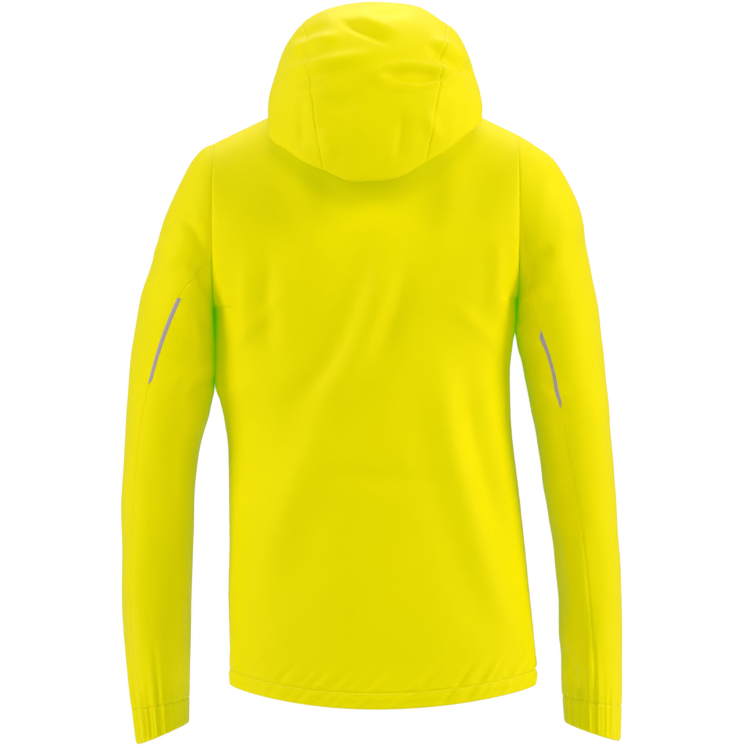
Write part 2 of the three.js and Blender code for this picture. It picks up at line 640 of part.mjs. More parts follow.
// back runs 0..8 over the arches. over runs from -1 (right base) through 0 (middle) to 1 (left base).
function hoodPoint(back, over) {
  const side = over >= 0 ? 1 : -1;
  const lastArch = hoodArches.length - 1;
  const lastStep = hoodArches[0].length - 1;
  const arch = Math.min(Math.floor(clamp(back, 0, lastArch)), lastArch - 1);
  const step = lastStep * (1 - Math.abs(over));
  const cell = clamp(Math.floor(step), 0, lastStep - 1);
  const archWeights = splineWeights(back - arch);
  const stepWeights = splineWeights(step - cell);
  const sum = vec(0, 0, 0);
  archWeights.forEach((wa, i) => {
    const row = hoodArches[clamp(arch - 1 + i, 0, lastArch)];
    stepWeights.forEach((ws, j) => {
      const k = cell - 1 + j;
      const [x, y, z] = row[k > lastStep ? 2 * lastStep - k : Math.max(k, 0)];
      sum.addScaledVector(vec(k > lastStep ? -x : x, y, z), wa * ws);
    });
  });
  const x = side * sum.x * (hoodWidth / 2);
  const pouch = smooth(2.5, 5, back) * (1 - smooth(6.3, 8, back));
  const skewed = side < 0 ? pouch * smooth(0, 0.25, 1 - Math.abs(over)) : 0;
  return vec(x, sum.y, neckSideZ + sum.z * hoodHeight + hoodSkew * Math.abs(x) * skewed);
}

const hoodMiddle = (back) => vec(0, through([[0, -60], [3, 20], [5, 70], [8, 90]], back), neckSideZ - 10);

function hoodInset(back, over, depth) {
  const safeBack = clamp(back, 0.01, 7.99);
  const safeOver = clamp(over, -0.995, 0.995);
  const skin = (u, v) => hoodPoint(u, v);
  const moved = inset(skin, safeBack, safeOver, depth, () => hoodInside(safeBack, safeOver), 5e-3);
  return moved.add(hoodPoint(back, over)).sub(hoodPoint(safeBack, safeOver));
}

// A point on the hollow side of the hood. Under the pouch the hollow is above the cloth.
function hoodInside(back, over) {
  const here = hoodPoint(back, over);
  if (back > 5.3) return here.clone().add(vec(0, 0, 30));
  return hoodMiddle(back).lerp(here, 0.2).add(vec(0, 0, back > 4.5 ? 30 : 0));
}

const hoodBackRows = [0.12, 0.6, 1.2, 1.8, 2.4, 3, 3.5, 4, 4.4, 4.75, 5, 5.25, 5.5, 6, 6.5, 7, 7.4, 7.75, 8];
const hoodSeam = 0.36;           // from the middle, as a share of the arch
const hoodCloth = (over, back, depth) => hoodInset(back, over, depth);
const hoodPanel = (overs) => sheetSolid(hoodCloth, overs, hoodBackRows, cloth);
add('hood_centre_panel', hoodPanel(spread(-hoodSeam + 0.003, hoodSeam - 0.003, 6)), yellowCloth);
add('hood_side_left', hoodPanel(spread(hoodSeam, 1, 7)), yellowCloth);
add('hood_side_right', hoodPanel(spread(-1, -hoodSeam, 7)), yellowCloth);

// The face opening's edge is bound with a folded elastic band.
const bindingProfile = [[0, -0.6], [0.1, -0.6], [0.1, cloth + 0.6], [0, cloth + 0.6]];
const bindingRings = spread(-0.99, 0.99, 24).map(
  (over) => bindingProfile.map(([back, depth]) => hoodInset(back, over, depth)),
);
add('hood_edge_binding', ringSolid(bindingRings, bindingProfile, false), greyLining);

// The standing collar inside the hood, open at the front where the zip runs up between its ends.
const collarIn = 0.6;             // the collar stands this far inside the neck edge
const collarSeat = 0.5;           // and this far above it
function collarPoint(round, up, depth) {
  const angle = Math.PI * round;
  const face = Math.cos(angle) < 0 ? -1 : 1;
  const half = neckHalf - collarIn - depth;
  const x = half * Math.sin(angle);
  const share = (x / half) * neckHalf;
  const scale = (neckHalf - collarIn - depth) / neckHalf;
  const baseZ = neckRingZ(share, face);
  const middle = 1 - (share / neckHalf) ** 2;
  const height = face > 0 ? lerp(40, 46, middle) : lerp(40, collarRise, middle);
  const z = baseZ + collarSeat + height * up;
  const y = face > 0 ? neckRingY(share, face) * scale : zipY(z) * Math.sqrt(middle) + wallGap + depth;
  return vec(x, y, z);
}
const collarOpening = Math.asin((tapeWidth + 1) / (neckHalf - collarIn)) / Math.PI;
const collarRounds = spread(-1 + collarOpening, 1 - collarOpening, 28);
add('collar', sheetSolid(collarPoint, collarRounds, spread(0, 1, 2), cloth), yellowCloth);
const facingPoint = (round, up, depth) => collarPoint(round, up * 0.9 + 0.05, depth + cloth + wallGap);
add('collar_facing', sheetSolid(facingPoint, collarRounds, spread(0, 1, 2), cloth), greyLining);

// The hanger loop, a ribbon sewn to the collar's facing at the back of the neck.
const loopSpan = 56;
const loopStandoff = 9;
const loopRibbon = 7;
const loopThickness = 1.4;
const loopRound = Math.asin(loopSpan / 2 / (neckHalf - collarIn - 2 * cloth)) / Math.PI;
const loopY = collarPoint(loopRound, 0.2, 2 * cloth + 3 * wallGap).y;
const loopZ = collarPoint(0, 0.2, 0).z;
const loopShape = new THREE.Shape();
const loopEnds = [[-loopSpan / 2, 0], [-loopSpan / 2 + 8, -loopStandoff], [loopSpan / 2 - 8, -loopStandoff],
  [loopSpan / 2, 0]];
loopShape.moveTo(...loopEnds[0]);
loopEnds.slice(1).forEach(([x, y]) => loopShape.lineTo(x, y));
loopEnds.reverse().forEach(([x, y]) => loopShape.lineTo(x, y - loopThickness));
loopShape.closePath();
const loopGeometry = new THREE.ExtrudeGeometry(loopShape, { depth: loopRibbon, bevelEnabled: false });
add('hanger_loop', loopGeometry.translate(0, loopY, loopZ - loopRibbon / 2), greyLining);

// Zips. Each lies in a frame of its own: x across, y inwards and z up along the zip, with the slider's
// place at z = 0 for the main zip's top.
const box = (x, y, z) => new THREE.BoxGeometry(x[1] - x[0], y[1] - y[0], z[1] - z[0])
  .translate((x[0] + x[1]) / 2, (y[0] + y[1]) / 2, (z[0] + z[1]) / 2);

// A slider's outer plate with the arch that holds the puller, its inner plate, and the puller. front is the
// depth of the tape's outer face and back that of the coil's inner face.
const bailHalf = 1.2;
const bailLegs = 3;
const bailBar = 0.9;
const bailHeight = 2.4;
const pinRadius = 0.8;
const pinHeight = 1.25;

function sliderPieces(name, frame, z, front, back, size, finish) {
  const width = sliderWidth * size;
  const length = sliderLength * size;
  const plateTop = front - slideGap - sliderPlate;
  const outline = new THREE.Shape();
  outline.moveTo(-width * 0.32, -length / 2);
  outline.lineTo(width * 0.32, -length / 2);
  outline.quadraticCurveTo(width * 0.4, 0, width / 2, length * 0.2);
  outline.quadraticCurveTo(width / 2, length / 2, width * 0.15, length / 2);
  outline.lineTo(-width * 0.15, length / 2);
  outline.quadraticCurveTo(-width / 2, length / 2, -width / 2, length * 0.2);
  outline.quadraticCurveTo(-width * 0.4, 0, -width * 0.32, -length / 2);
  const plateOf = (top) => new THREE.ExtrudeGeometry(
    outline, { depth: sliderPlate, bevelEnabled: false, curveSegments: 5 },
  ).rotateX(Math.PI / 2).translate(0, top + sliderPlate, 0);
  const arch = [
    box([-bailHalf, bailHalf], [plateTop - bailHeight, plateTop + 0.3], [bailLegs, bailLegs + bailBar]),
    box([-bailHalf, bailHalf], [plateTop - bailHeight, plateTop + 0.3], [-bailLegs - bailBar, -bailLegs]),
    box([-bailHalf, bailHalf], [plateTop - bailHeight - bailBar, plateTop - bailHeight + 0.01],
      [-bailLegs - bailBar, bailLegs + bailBar]),
  ];
  const outer = join(plateOf(plateTop), ...arch);
  add(`${name}_slider`, outer.translate(0, 0, z), finish, frame);
  add(`${name}_slider_inner`, plateOf(back + slideGap).translate(0, 0, z), finish, frame);

  const pinY = plateTop - pinHeight;
  const half = (pullerWidth * size) / 2;
  const armIn = bailHalf + 0.5;
  const eyeEnd = -bailLegs - bailBar - 3.2;
  const puller = join(
    new THREE.CylinderGeometry(pinRadius, pinRadius, 2 * half, 12).rotateZ(Math.PI / 2).translate(0, pinY, 0),
    box([armIn, half], [pinY - pinRadius * 0.85, pinY + pinRadius * 0.85], [eyeEnd - 1, 0]),
    box([-half, -armIn], [pinY - pinRadius * 0.85, pinY + pinRadius * 0.85], [eyeEnd - 1, 0]),
    box([-half, half], [pinY - pinRadius * 0.85, pinY + pinRadius * 0.85], [-pullerLength * size, eyeEnd]),
  );
  add(`${name}_puller`, puller.translate(0, 0, z), pullerPlastic, frame);
  return pinY;
}

// The main zip's frame stands at its top end, on the skin's middle line.
const zipTopInset = 9;
const zipFrame = new THREE.Group();
const zipTopZ = chinZ - 6;
zipFrame.position.set(0, zipY(zipTopZ), zipTopZ);
zipFrame.rotation.x = -zipLean;
jacket.add(zipFrame);
const zipLength = (zipTopZ - hemFrontZ - 3) / Math.cos(zipLean);
const tapeFront = cloth + 1;
const tapeBack = tapeFront + tapeThickness;
const coilFront = tapeBack + 0.3;
const coilBack = coilFront + coilDepth;
const boxHeight = 8;

for (const side of ['left', 'right']) {
  const sign = sides[side];
  const strip = (from, to) => [Math.min(sign * from, sign * to), Math.max(sign * from, sign * to)];
  add(`main_zip_tape_${side}`,
    box(strip(tapeMeeting, tapeWidth), [tapeFront, tapeBack], [-zipLength, 0]), yellowTape, zipFrame);
  add(`main_zip_coil_${side}`,
    box(strip(tapeMeeting * 0.5, coilWidth), [coilFront, coilBack], [-zipLength + boxHeight + 1, -3]),
    coilPlastic, zipFrame);
}
add('main_zip_box', box([-3.5, 3.5], [coilFront, coilBack + 0.4], [-zipLength, -zipLength + boxHeight]),
  coilPlastic, zipFrame);
const mainPinY = sliderPieces('main_zip', zipFrame, -zipTopInset, tapeFront, coilBack, 1, sliderMetal);

// The wind flap hangs behind the zip, sewn to the left front panel's facing.
const flapFront = coilBack + 2 * slideGap + sliderPlate + 0.8;
const flapHalf = tapeWidth - 1;
const flapSpan = [-zipLength + hemBand + 2, -4];
add('wind_flap', join(
  box([-flapHalf, flapHalf], [flapFront, flapFront + cloth], flapSpan),
  box([flapHalf - cloth, flapHalf], [tapeBack + wallGap, flapFront + cloth / 2], flapSpan),
), greyLining, zipFrame);

// The chin guard is a soft patch inside the collar's left front corner, where the zip ends.
const guardPoint = (round, up, depth) => collarPoint(round, up, depth + 2 * (cloth + wallGap));
add('chin_guard', sheetSolid(guardPoint, collarRounds.slice(-4), [0.55, 0.94], cloth), greyLining);

// Pocket zips, with the slider at the top when closed, over a slot in the front panel.
const pocketTape = 20;
const pocketScale = 0.8;
const pocketBagDepth = 8.6;      // behind the panel's skin, clear of the slider
const bagSeam = 2;               // between the panel's inner face and the bag's edge
const pocketBagSpan = { turn: [0.17, 0.68], up: [0.06, 0.66] };
for (const side of ['left', 'right']) {
  const frame = pocketFrames[side];
  const half = pocketZipLength / 2;
  const tapeAt = cloth + 1.6;
  add(`pocket_zip_tape_${side}`,
    box([-pocketTape / 2, pocketTape / 2], [tapeAt, tapeAt + tapeThickness], [-half - 5, half + 5]),
    yellowTape, frame);
  const coilAt = tapeAt + tapeThickness + 0.3;
  add(`pocket_zip_coil_${side}`,
    box([-coilWidth, coilWidth], [coilAt, coilAt + coilDepth], [-half + 2, half - 2]), coilPlastic, frame);
  sliderPieces(`pocket_zip_${side}`, frame, half - 9, tapeAt, coilAt + coilDepth, pocketScale, sliderMetal);
  // The pocket's bag is sewn to the panel all round and stands off it behind the zip.
  const skin = torsoSkin(-1, 0);
  const bagPoint = (u, v, depth) => {
    const room = smooth(0, 0.2, u) * smooth(1, 0.88, u) * smooth(0, 0.15, v) * smooth(1, 0.88, v);
    const stand = lerp(cloth + bagSeam, pocketBagDepth, room);
    const turn = lerp(...pocketBagSpan.turn, u) * sides[side];
    return inset(skin, turn, lerp(...pocketBagSpan.up, v), stand + depth, torsoMiddle);
  };
  const bagColumns = [0, 0.07, 0.14, 0.2, 0.4, 0.6, 0.78, 0.88, 0.94, 1];
  const bagRows = [0, 0.07, 0.15, 0.35, 0.55, 0.75, 0.88, 0.94, 1];
  add(`pocket_bag_${side}`, sheetSolid(bagPoint, bagColumns, bagRows, foldWall), greyLining);
}

// The origin is below the middle of the jacket's box, at the height of its lowest point.
const bounds = new THREE.Box3().setFromObject(jacket, true);
const centre = bounds.getCenter(vec(0, 0, 0));
jacket.position.set(-centre.x, -centre.y, -bounds.min.z);

export default jacket;
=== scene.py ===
import math

import bpy
import numpy as np
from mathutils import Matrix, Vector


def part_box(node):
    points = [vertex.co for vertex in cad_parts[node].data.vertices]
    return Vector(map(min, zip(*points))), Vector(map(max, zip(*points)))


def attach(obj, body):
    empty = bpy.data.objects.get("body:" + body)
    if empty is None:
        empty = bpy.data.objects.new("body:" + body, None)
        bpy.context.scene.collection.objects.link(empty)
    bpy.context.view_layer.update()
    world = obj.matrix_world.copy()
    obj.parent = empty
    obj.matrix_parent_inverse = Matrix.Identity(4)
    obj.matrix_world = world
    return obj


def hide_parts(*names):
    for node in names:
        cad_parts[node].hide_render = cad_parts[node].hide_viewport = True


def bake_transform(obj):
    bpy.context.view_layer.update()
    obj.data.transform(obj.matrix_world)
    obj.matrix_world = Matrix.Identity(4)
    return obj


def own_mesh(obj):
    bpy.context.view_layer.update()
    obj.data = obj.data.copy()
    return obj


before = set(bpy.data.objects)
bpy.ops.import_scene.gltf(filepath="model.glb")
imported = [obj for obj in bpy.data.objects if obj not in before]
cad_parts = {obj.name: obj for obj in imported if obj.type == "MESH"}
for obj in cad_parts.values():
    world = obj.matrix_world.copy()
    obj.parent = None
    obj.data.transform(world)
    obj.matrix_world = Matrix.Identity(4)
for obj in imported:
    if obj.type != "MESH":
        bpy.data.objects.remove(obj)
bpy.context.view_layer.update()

print("frame loaded:", len(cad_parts), "nodes")

# The jacket's cut, in millimetres. Heights are from the lowest cuff up, x runs from the zip to the wearer's
# left, and y from the zip's middle plane to the back.
cut = {
    "sleeveLength": 714, "bodyLength": 668, "chestWidth": 358.5, "chestShareLeft": 0.53,
    "armholeHeight": 194, "armholeDepth": 160, "shoulderSlope": 0.48,
    "backDepth": [[0, 118], [0.45, 117], [1, 124]], "zipDepthHem": 124, "zipDepthChin": 100,
    "neckWidth": 158, "neckBack": 63, "neckDrop": 63, "collarRise": 66,
    "hoodWidth": 248, "hoodHeight": 112, "hoodSkew": 0.15,
    "hemDrop": 28, "frontHemRise": 10, "hemBand": 19, "cuffBand": 24, "backHemLift": 7,
    "flatHalf": 17, "zipEdge": 6.5, "cloth": 1.0,
    "sideSeamLeft": [[0, 0.48], [0.62, 0.484], [0.7, 0.497], [0.75, 0.511], [0.79, 0.5275], [1, 0.5315]],
    "sideSeamRight": [[0, 0.533], [0.1, 0.529], [0.39, 0.491], [0.63, 0.457], [0.8, 0.444], [0.88, 0.455],
                      [0.93, 0.4665], [1, 0.471]],
}
sideSign = {"left": 1, "right": -1}
neckHalf = cut["neckWidth"] / 2
armholeX = {"left": cut["chestWidth"] * cut["chestShareLeft"],
            "right": cut["chestWidth"] * (1 - cut["chestShareLeft"])}
neckSideZ = cut["sleeveLength"] + cut["shoulderSlope"] * (armholeX["left"] - neckHalf)
armholeTop = {s: neckSideZ - cut["shoulderSlope"] * (armholeX[s] - neckHalf) for s in sideSign}
pitZ = {s: armholeTop[s] - cut["armholeHeight"] for s in sideSign}
hemBackZ = cut["sleeveLength"] - cut["bodyLength"]
hemSideZ = hemBackZ + cut["hemDrop"]
hemFrontZ = hemSideZ + cut["frontHemRise"]
neckFrontZ = neckSideZ - cut["neckDrop"]
chinZ = neckFrontZ + cut["collarRise"]


# Shapes as functions of two parameters, all in millimetres.

def eased(low, high, value):
    # 0 at low and 1 at high with a level start and end: 3s^2 - 2s^3
    s = np.clip((value - low) / (high - low), 0, 1)
    return s * s * (3 - 2 * s)


def mixed(a, b, share):
    return a + (b - a) * share


def through(pairs, place):
    # a cubic between neighbouring pairs, whose slope at a pair comes from the pairs on both sides of it
    x, y = np.array(pairs, float).T
    last = len(x) - 1
    before = np.maximum(np.arange(last + 1) - 1, 0)
    after = np.minimum(np.arange(last + 1) + 1, last)
    slope = (y[after] - y[before]) / (x[after] - x[before])
    at = np.clip(place, x[0], x[-1])
    i = np.searchsorted(x[1:-1], at, side="left")
    span = x[i + 1] - x[i]
    s = (at - x[i]) / span
    start = y[i] * (2 * s**3 - 3 * s**2 + 1) + slope[i] * span * (s**3 - 2 * s**2 + s)
    return start + y[i + 1] * (3 * s**2 - 2 * s**3) + slope[i + 1] * span * (s**3 - s**2)


def zipY(z):
    # the zip is a straight line that leans back towards the chin
    return -mixed(cut["zipDepthHem"], cut["zipDepthChin"], (z - hemFrontZ) / (chinZ - hemFrontZ))


def offMiddle(x, half, face):
    # share of the way from the middle to the side, with a flat strip behind the zip
    flat = cut["flatHalf"] if face < 0 else 0
    return np.clip((np.abs(x) - flat) / (half - flat), 0, 1)


def neckZ(x, face):
    # the neck edge dips as a parabola at the back, and as a deeper rounder one in front
    middle = 1 - np.clip(np.abs(x) / neckHalf, 0, 1) ** 2
    return neckSideZ - 18 * middle if face > 0 else mixed(neckSideZ, neckFrontZ, middle**0.8)


def neckY(x, face):
    # half an ellipse at the back and another in front
    middle = np.sqrt(np.maximum(1 - offMiddle(x, neckHalf, face) ** 2, 0))
    return cut["neckBack"] * middle if face > 0 else zipY(neckFrontZ) * middle


def torsoSkin(face, turn, up, lift):
    # Across, the skin is a boxy ellipse: x = half * sin(turn), y = edge + (depth - edge) * bulge, where edge
    # is the depth at the side, depth that in the middle and bulge (1 - share^2)^0.46. Up, it runs 0..1 from
    # the hem to the armpit, then 1..2 over half of the armhole's ellipse to the shoulder and neck.
    across = np.sin(np.pi / 2 * turn)
    left = across >= 0
    share = np.abs(across)
    armX = np.where(left, armholeX["left"], armholeX["right"])
    pit = mixed(pitZ["right"], pitZ["left"], eased(-0.6, 0.6, across))
    middleZ = hemBackZ + cut["backHemLift"] if face > 0 else hemFrontZ
    hem = middleZ * (1 - share**2) + hemSideZ * share**2 + lift
    lowZ = mixed(hem, pit, np.clip(up, 0, 1))
    level = (lowZ - hemSideZ) / (pit - hemSideZ)
    seam = np.where(left, through(cut["sideSeamLeft"], level), through(cut["sideSeamRight"], level))
    rise = np.clip(up - 1, 0, 1)
    half = mixed(seam * cut["chestWidth"], armX, eased(0, 0.2, rise))
    topX = share * armX
    inNeck = topX < neckHalf
    beyond = topX - neckHalf
    topZ = np.where(inNeck, neckZ(topX, face), neckSideZ - cut["shoulderSlope"] * beyond)
    topY = np.where(inNeck, neckY(topX, face) * face, 0)
    climb = (1 - np.cos(np.pi * rise)) / 2
    # away from the neck edge and the armhole, the corner between neck and shoulder is rounded off
    roundTop = neckSideZ - cut["shoulderSlope"] / 2 * (beyond + np.hypot(beyond, 44))
    exact = np.maximum(eased(0.55, 1, climb), eased(0.75, 1, share))
    z = mixed(lowZ, mixed(roundTop, topZ, exact), climb)
    heightShare = (z - hemSideZ) / (pit - hemSideZ)
    middle = through(cut["backDepth"], heightShare / 1.2) if face > 0 else -zipY(z)
    fall = np.maximum(1 - climb**1.8, 0) ** 0.6
    # below the neck edge its two corners are rounded off as well, by a bell instead of half an ellipse
    bell = (cut["neckBack"] if face > 0 else -zipY(neckFrontZ)) * np.exp(-((topX / 58) ** 2))
    bulge = np.maximum(1 - offMiddle(share * half, half, face) ** 2, 0) ** 0.46
    toCollar = mixed(1, 1 / np.maximum(bulge, 0.5), 0.6)
    topY = mixed(bell, topY * toCollar, eased(0.7, 1, climb))
    depth = topY * (1 - fall) * eased(0.4, 1, climb) + middle * fall
    if face < 0:
        depth = mixed(depth, mixed(middle, topY, climb**3), eased(1, 0, topX / neckHalf))
    # the armhole's own ellipse at its edge, and away from it a fullness that begins below the armpit
    ellipse = np.sin(np.pi * rise)
    full = np.where(rise < 0.5, eased(pit - 90, pit + cut["armholeHeight"] / 2, z), ellipse)
    edge = cut["armholeDepth"] / 2 * mixed(full, ellipse, eased(0.9, 1, share))
    return np.stack([np.where(left, 1, -1) * share * half, face * mixed(edge, depth, bulge), z], -1)


# Each ring of a sleeve lies between its outer and its inner line: [share of the sleeve, beyond the armhole,
# share of the height of the armhole's top or of its lowest point].
sleeveCut = {
    "left": {
        "outer": [[0, 0, 1], [0.03, 15, 0.989], [0.06, 30, 0.963], [0.12, 51, 0.903], [0.2, 66, 0.839],
                  [0.32, 86, 0.741], [0.45, 100.2, 0.613], [0.6, 108, 0.476], [0.75, 110.5, 0.329],
                  [0.9, 108, 0.168], [1, 94, 0]],
        "inner": [[0, 0, 1], [0.06, 0, 0.9708], [0.12, -0.8, 0.9378], [0.2, -1.4, 0.8939],
                  [0.32, -1.2, 0.817], [0.45, 13, 0.7154], [0.6, 22.5, 0.6], [0.75, 27, 0.4188],
                  [0.9, 30, 0.2224], [1, 32, 0.0481]],
        "backSeam": [[0, 118], [0.13, 98], [0.21, 85], [0.43, 65], [0.55, 57], [0.7, 51], [1, 40]],
        "strip": [0.215, 0.435],
    },
    "right": {
        "outer": [[0, 0, 1], [0.03, 21, 0.9818], [0.06, 43, 0.9581], [0.12, 68, 0.897], [0.2, 80, 0.828],
                  [0.32, 93, 0.7304], [0.45, 104.5, 0.6072], [0.6, 112.5, 0.4761], [0.75, 120.8, 0.3381],
                  [0.9, 126, 0.1725], [1, 124, 0.0059]],
        "inner": [[0, 0, 1], [0.06, -0.7, 0.9694], [0.12, -1.7, 0.9424], [0.2, -1.5, 0.9101],
                  [0.32, 8, 0.8374], [0.45, 19.5, 0.7257], [0.6, 31.5, 0.583], [0.75, 41.5, 0.443],
                  [0.9, 51.5, 0.2302], [1, 58.5, 0.0471]],
        "backSeam": [[0, 128], [0.26, 119], [0.45, 108], [0.7, 98], [1, 88]],
        "strip": [0.26, 0.455],
    },
}
sleeveDepth = [[0, 1], [0.12, 1], [0.2, 0.985], [0.32, 0.95], [0.45, 0.87], [0.6, 0.78], [0.75, 0.71],
               [0.9, 0.63], [1, 0.53]]
sleeveBend = [[0, 0], [0.3, 0], [0.5, -3], [0.75, -16], [1, -38]]
frontSeamAngle = -100
cuffShare = 1 - cut["cuffBand"] / cut["sleeveLength"]


def sleeveSkin(side, along, angle):
    # an ellipse between the outer line (0 degrees) and the inner one (180), with its back at 90 degrees
    lines = sleeveCut[side]

    def place(name, endZ):
        line = np.array(lines[name], float)
        return armholeX[side] + through(line[:, [0, 1]], along), through(line[:, [0, 2]], along) * endZ

    outX, outZ = place("outer", armholeTop[side])
    inX, inZ = place("inner", pitZ[side])
    turn = np.radians(angle)
    half = cut["armholeDepth"] / 2 * through(sleeveDepth, along)
    x = (outX + inX) / 2 + (outX - inX) / 2 * np.cos(turn)
    z = (outZ + inZ) / 2 + (outZ - inZ) / 2 * np.cos(turn)
    return np.stack([sideSign[side] * x, through(sleeveBend, along) + half * np.sin(turn), z], -1)


def onNeck(share, face):
    # a point of the hood's seam, a little above and outside the neck edge
    x = neckHalf * share
    return [1.02 * x / (cut["hoodWidth"] / 2), 1.02 * float(neckY(x, face)),
            (float(neckZ(x, face)) + 1.2 - neckSideZ) / cut["hoodHeight"]]


# The hood's arches, from the face opening over the crown to the pouch at the back and under it to the neck.
# Each runs from the neck seam to the middle: share of half the width, y, share of the height over the neck.
hoodArches = np.array([
    [onNeck(0.66, -1), [0.74, -92, -0.06], [0.84, -90, 0.28], [0.66, -82, 0.7], [0.35, -75, 0.87],
     [0, -72, 0.92]],
    [onNeck(0.9, -1), [0.87, -46, -0.05], [0.92, -40, 0.3], [0.74, -36, 0.71], [0.39, -33, 0.94],
     [0, -32, 0.985]],
    [onNeck(1, 1), [0.98, 8, -0.04], [0.93, 14, 0.29], [0.75, 20, 0.7], [0.42, 23, 0.93], [0, 24, 1]],
    [onNeck(0.985, 1), [1, 38, -0.14], [0.91, 64, 0.14], [0.71, 82, 0.46], [0.38, 93, 0.68], [0, 97, 0.75]],
    [onNeck(0.93, 1), [0.99, 64, -0.29], [0.88, 100, -0.2], [0.65, 126, -0.06], [0.34, 140, 0.04],
     [0, 145, 0.08]],
    [onNeck(0.84, 1), [0.975, 84, -0.41], [0.78, 116, -0.61], [0.53, 138, -0.77], [0.27, 149, -0.87],
     [0, 153, -0.9]],
    [onNeck(0.73, 1), [0.82, 90, -0.38], [0.65, 112, -0.56], [0.44, 124, -0.68], [0.22, 131, -0.74],
     [0, 133, -0.76]],
    [onNeck(0.66, 1), [0.68, 86, -0.26], [0.52, 98, -0.35], [0.35, 106, -0.38], [0.18, 109, -0.39],
     [0, 110, -0.39]],
    [onNeck(0.6 * s, 1) for s in (1, 0.833, 0.633, 0.433, 0.217, 0)],
])


def splineWeights(s):
    # Catmull-Rom: the weights of four neighbours around a place between the second and the third
    return [(-s + 2 * s**2 - s**3) / 2, (2 - 5 * s**2 + 3 * s**3) / 2,
            (s + 4 * s**2 - 3 * s**3) / 2, (-(s**2) + s**3) / 2]


def hoodSkin(back, over):
    # a smooth surface through the arches; back counts the arches, over runs -1..1 from right base to left
    lastArch, lastStep = hoodArches.shape[0] - 1, hoodArches.shape[1] - 1
    side = np.where(over >= 0, 1, -1)
    arch = np.minimum(np.floor(np.clip(back, 0, lastArch)), lastArch - 1).astype(int)
    step = lastStep * (1 - np.abs(over))
    cell = np.clip(np.floor(step), 0, lastStep - 1).astype(int)
    total = 0
    for i, archWeight in enumerate(splineWeights(back - arch)):
        row = np.clip(arch - 1 + i, 0, lastArch)
        for j, stepWeight in enumerate(splineWeights(step - cell)):
            k = cell - 1 + j
            beyond = k > lastStep
            point = hoodArches[row, np.where(beyond, 2 * lastStep - k, np.maximum(k, 0))]
            point = point * np.stack([np.where(beyond, -1, 1), np.ones(k.shape), np.ones(k.shape)], -1)
            total = total + point * (archWeight * stepWeight)[..., None]
    x = total[..., 0] * cut["hoodWidth"] / 2
    pouch = eased(2.5, 5, back) * (1 - eased(6.3, 8, back)) * eased(0, 0.25, 1 - np.abs(over))
    lift = np.where(side < 0, cut["hoodSkew"] * np.abs(x) * pouch, 0)
    return np.stack([side * x, total[..., 1], neckSideZ + total[..., 2] * cut["hoodHeight"] + lift], -1)


def collarSkin(around, up, depth):
    # the neck edge's two half ellipses, carried up and drawn in by depth
    angle = np.pi * around
    half = neckHalf - 0.6 - depth
    x = half * np.sin(angle)
    share = x / half * neckHalf
    middle = 1 - (share / neckHalf) ** 2
    atBack = np.cos(angle) >= 0
    height = np.where(atBack, mixed(40, 46, middle), mixed(40, cut["collarRise"], middle))
    z = np.where(atBack, neckZ(share, 1), neckZ(share, -1)) + 0.5 + height * up
    frontY = zipY(z) * np.sqrt(np.maximum(middle, 0)) + 0.3 + depth
    y = np.where(atBack, neckY(share, 1) * half / neckHalf, frontY)
    return np.stack([x, y, z], -1)


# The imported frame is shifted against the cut: read the shift from the left zip tape's corner.
zipTopZ = chinZ - 6
zipLean = math.atan2(cut["zipDepthHem"] - cut["zipDepthChin"], chinZ - hemFrontZ)
zipLength = (zipTopZ - hemFrontZ - 3) / math.cos(zipLean)
tapeFront = 2.2
tapeCorner = np.array(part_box("main_zip_tape_left")[0]) * 1000
origin = np.array([
    tapeCorner[0] - 0.4,
    tapeCorner[1] - (float(zipY(zipTopZ)) + tapeFront * math.cos(zipLean) - zipLength * math.sin(zipLean)),
    0.0,
])
print("shift of the frame, mm:", origin.round(3))


# Grids and meshes.

# Distances of the closer rows beside a seam, and the lengths of the body up to the armpit and of a sleeve.
seamSteps = np.array([0.5, 1.1, 1.9, 3.0, 4.6])
edgeSteps = np.concatenate([[0], seamSteps[:-1]])
bodyRun = 440
sleeveRun = 700


def spaced(count, length):
    # 0..1 in even steps, with closer ones beside the seam at each end; length is the real length
    near = seamSteps / length
    middle = np.linspace(near[-1], 1 - near[-1], count + 1)
    return np.unique(np.round(np.concatenate([[0], near, middle, 1 - near, [1]]), 7))


def normalsOf(points, inner, wraps=False):
    # cross product of the grid's two directions, turned away from the inner points
    if wraps:
        padded = np.concatenate([points[-1:], points, points[:1]])
        du = padded[2:] - padded[:-2]
    else:
        du = np.gradient(points, axis=0)
    normal = np.cross(du, np.gradient(points, axis=1))
    normal /= np.linalg.norm(normal, axis=-1, keepdims=True) + 1e-9
    return normal * np.sign(np.mean(np.sum(normal * (points - inner), -1)))


def arcs(points, axis):
    # running length along one direction of the grid
    steps = np.linalg.norm(np.diff(points, axis=axis), axis=-1)
    start = np.zeros_like(np.take(steps, [0], axis=axis))
    return np.concatenate([start, np.cumsum(steps, axis=axis)], axis=axis)


def gridQuads(nu, nv, wraps):
    # the four corners of each cell, as numbers of the grid's points
    i = np.arange(nu if wraps else nu - 1)[:, None]
    j = np.arange(nv - 1)[None, :]
    after = (i + 1) % nu
    quads = np.stack([i * nv + j, after * nv + j, after * nv + j + 1, i * nv + j + 1], -1)
    return quads.reshape(-1, 4)


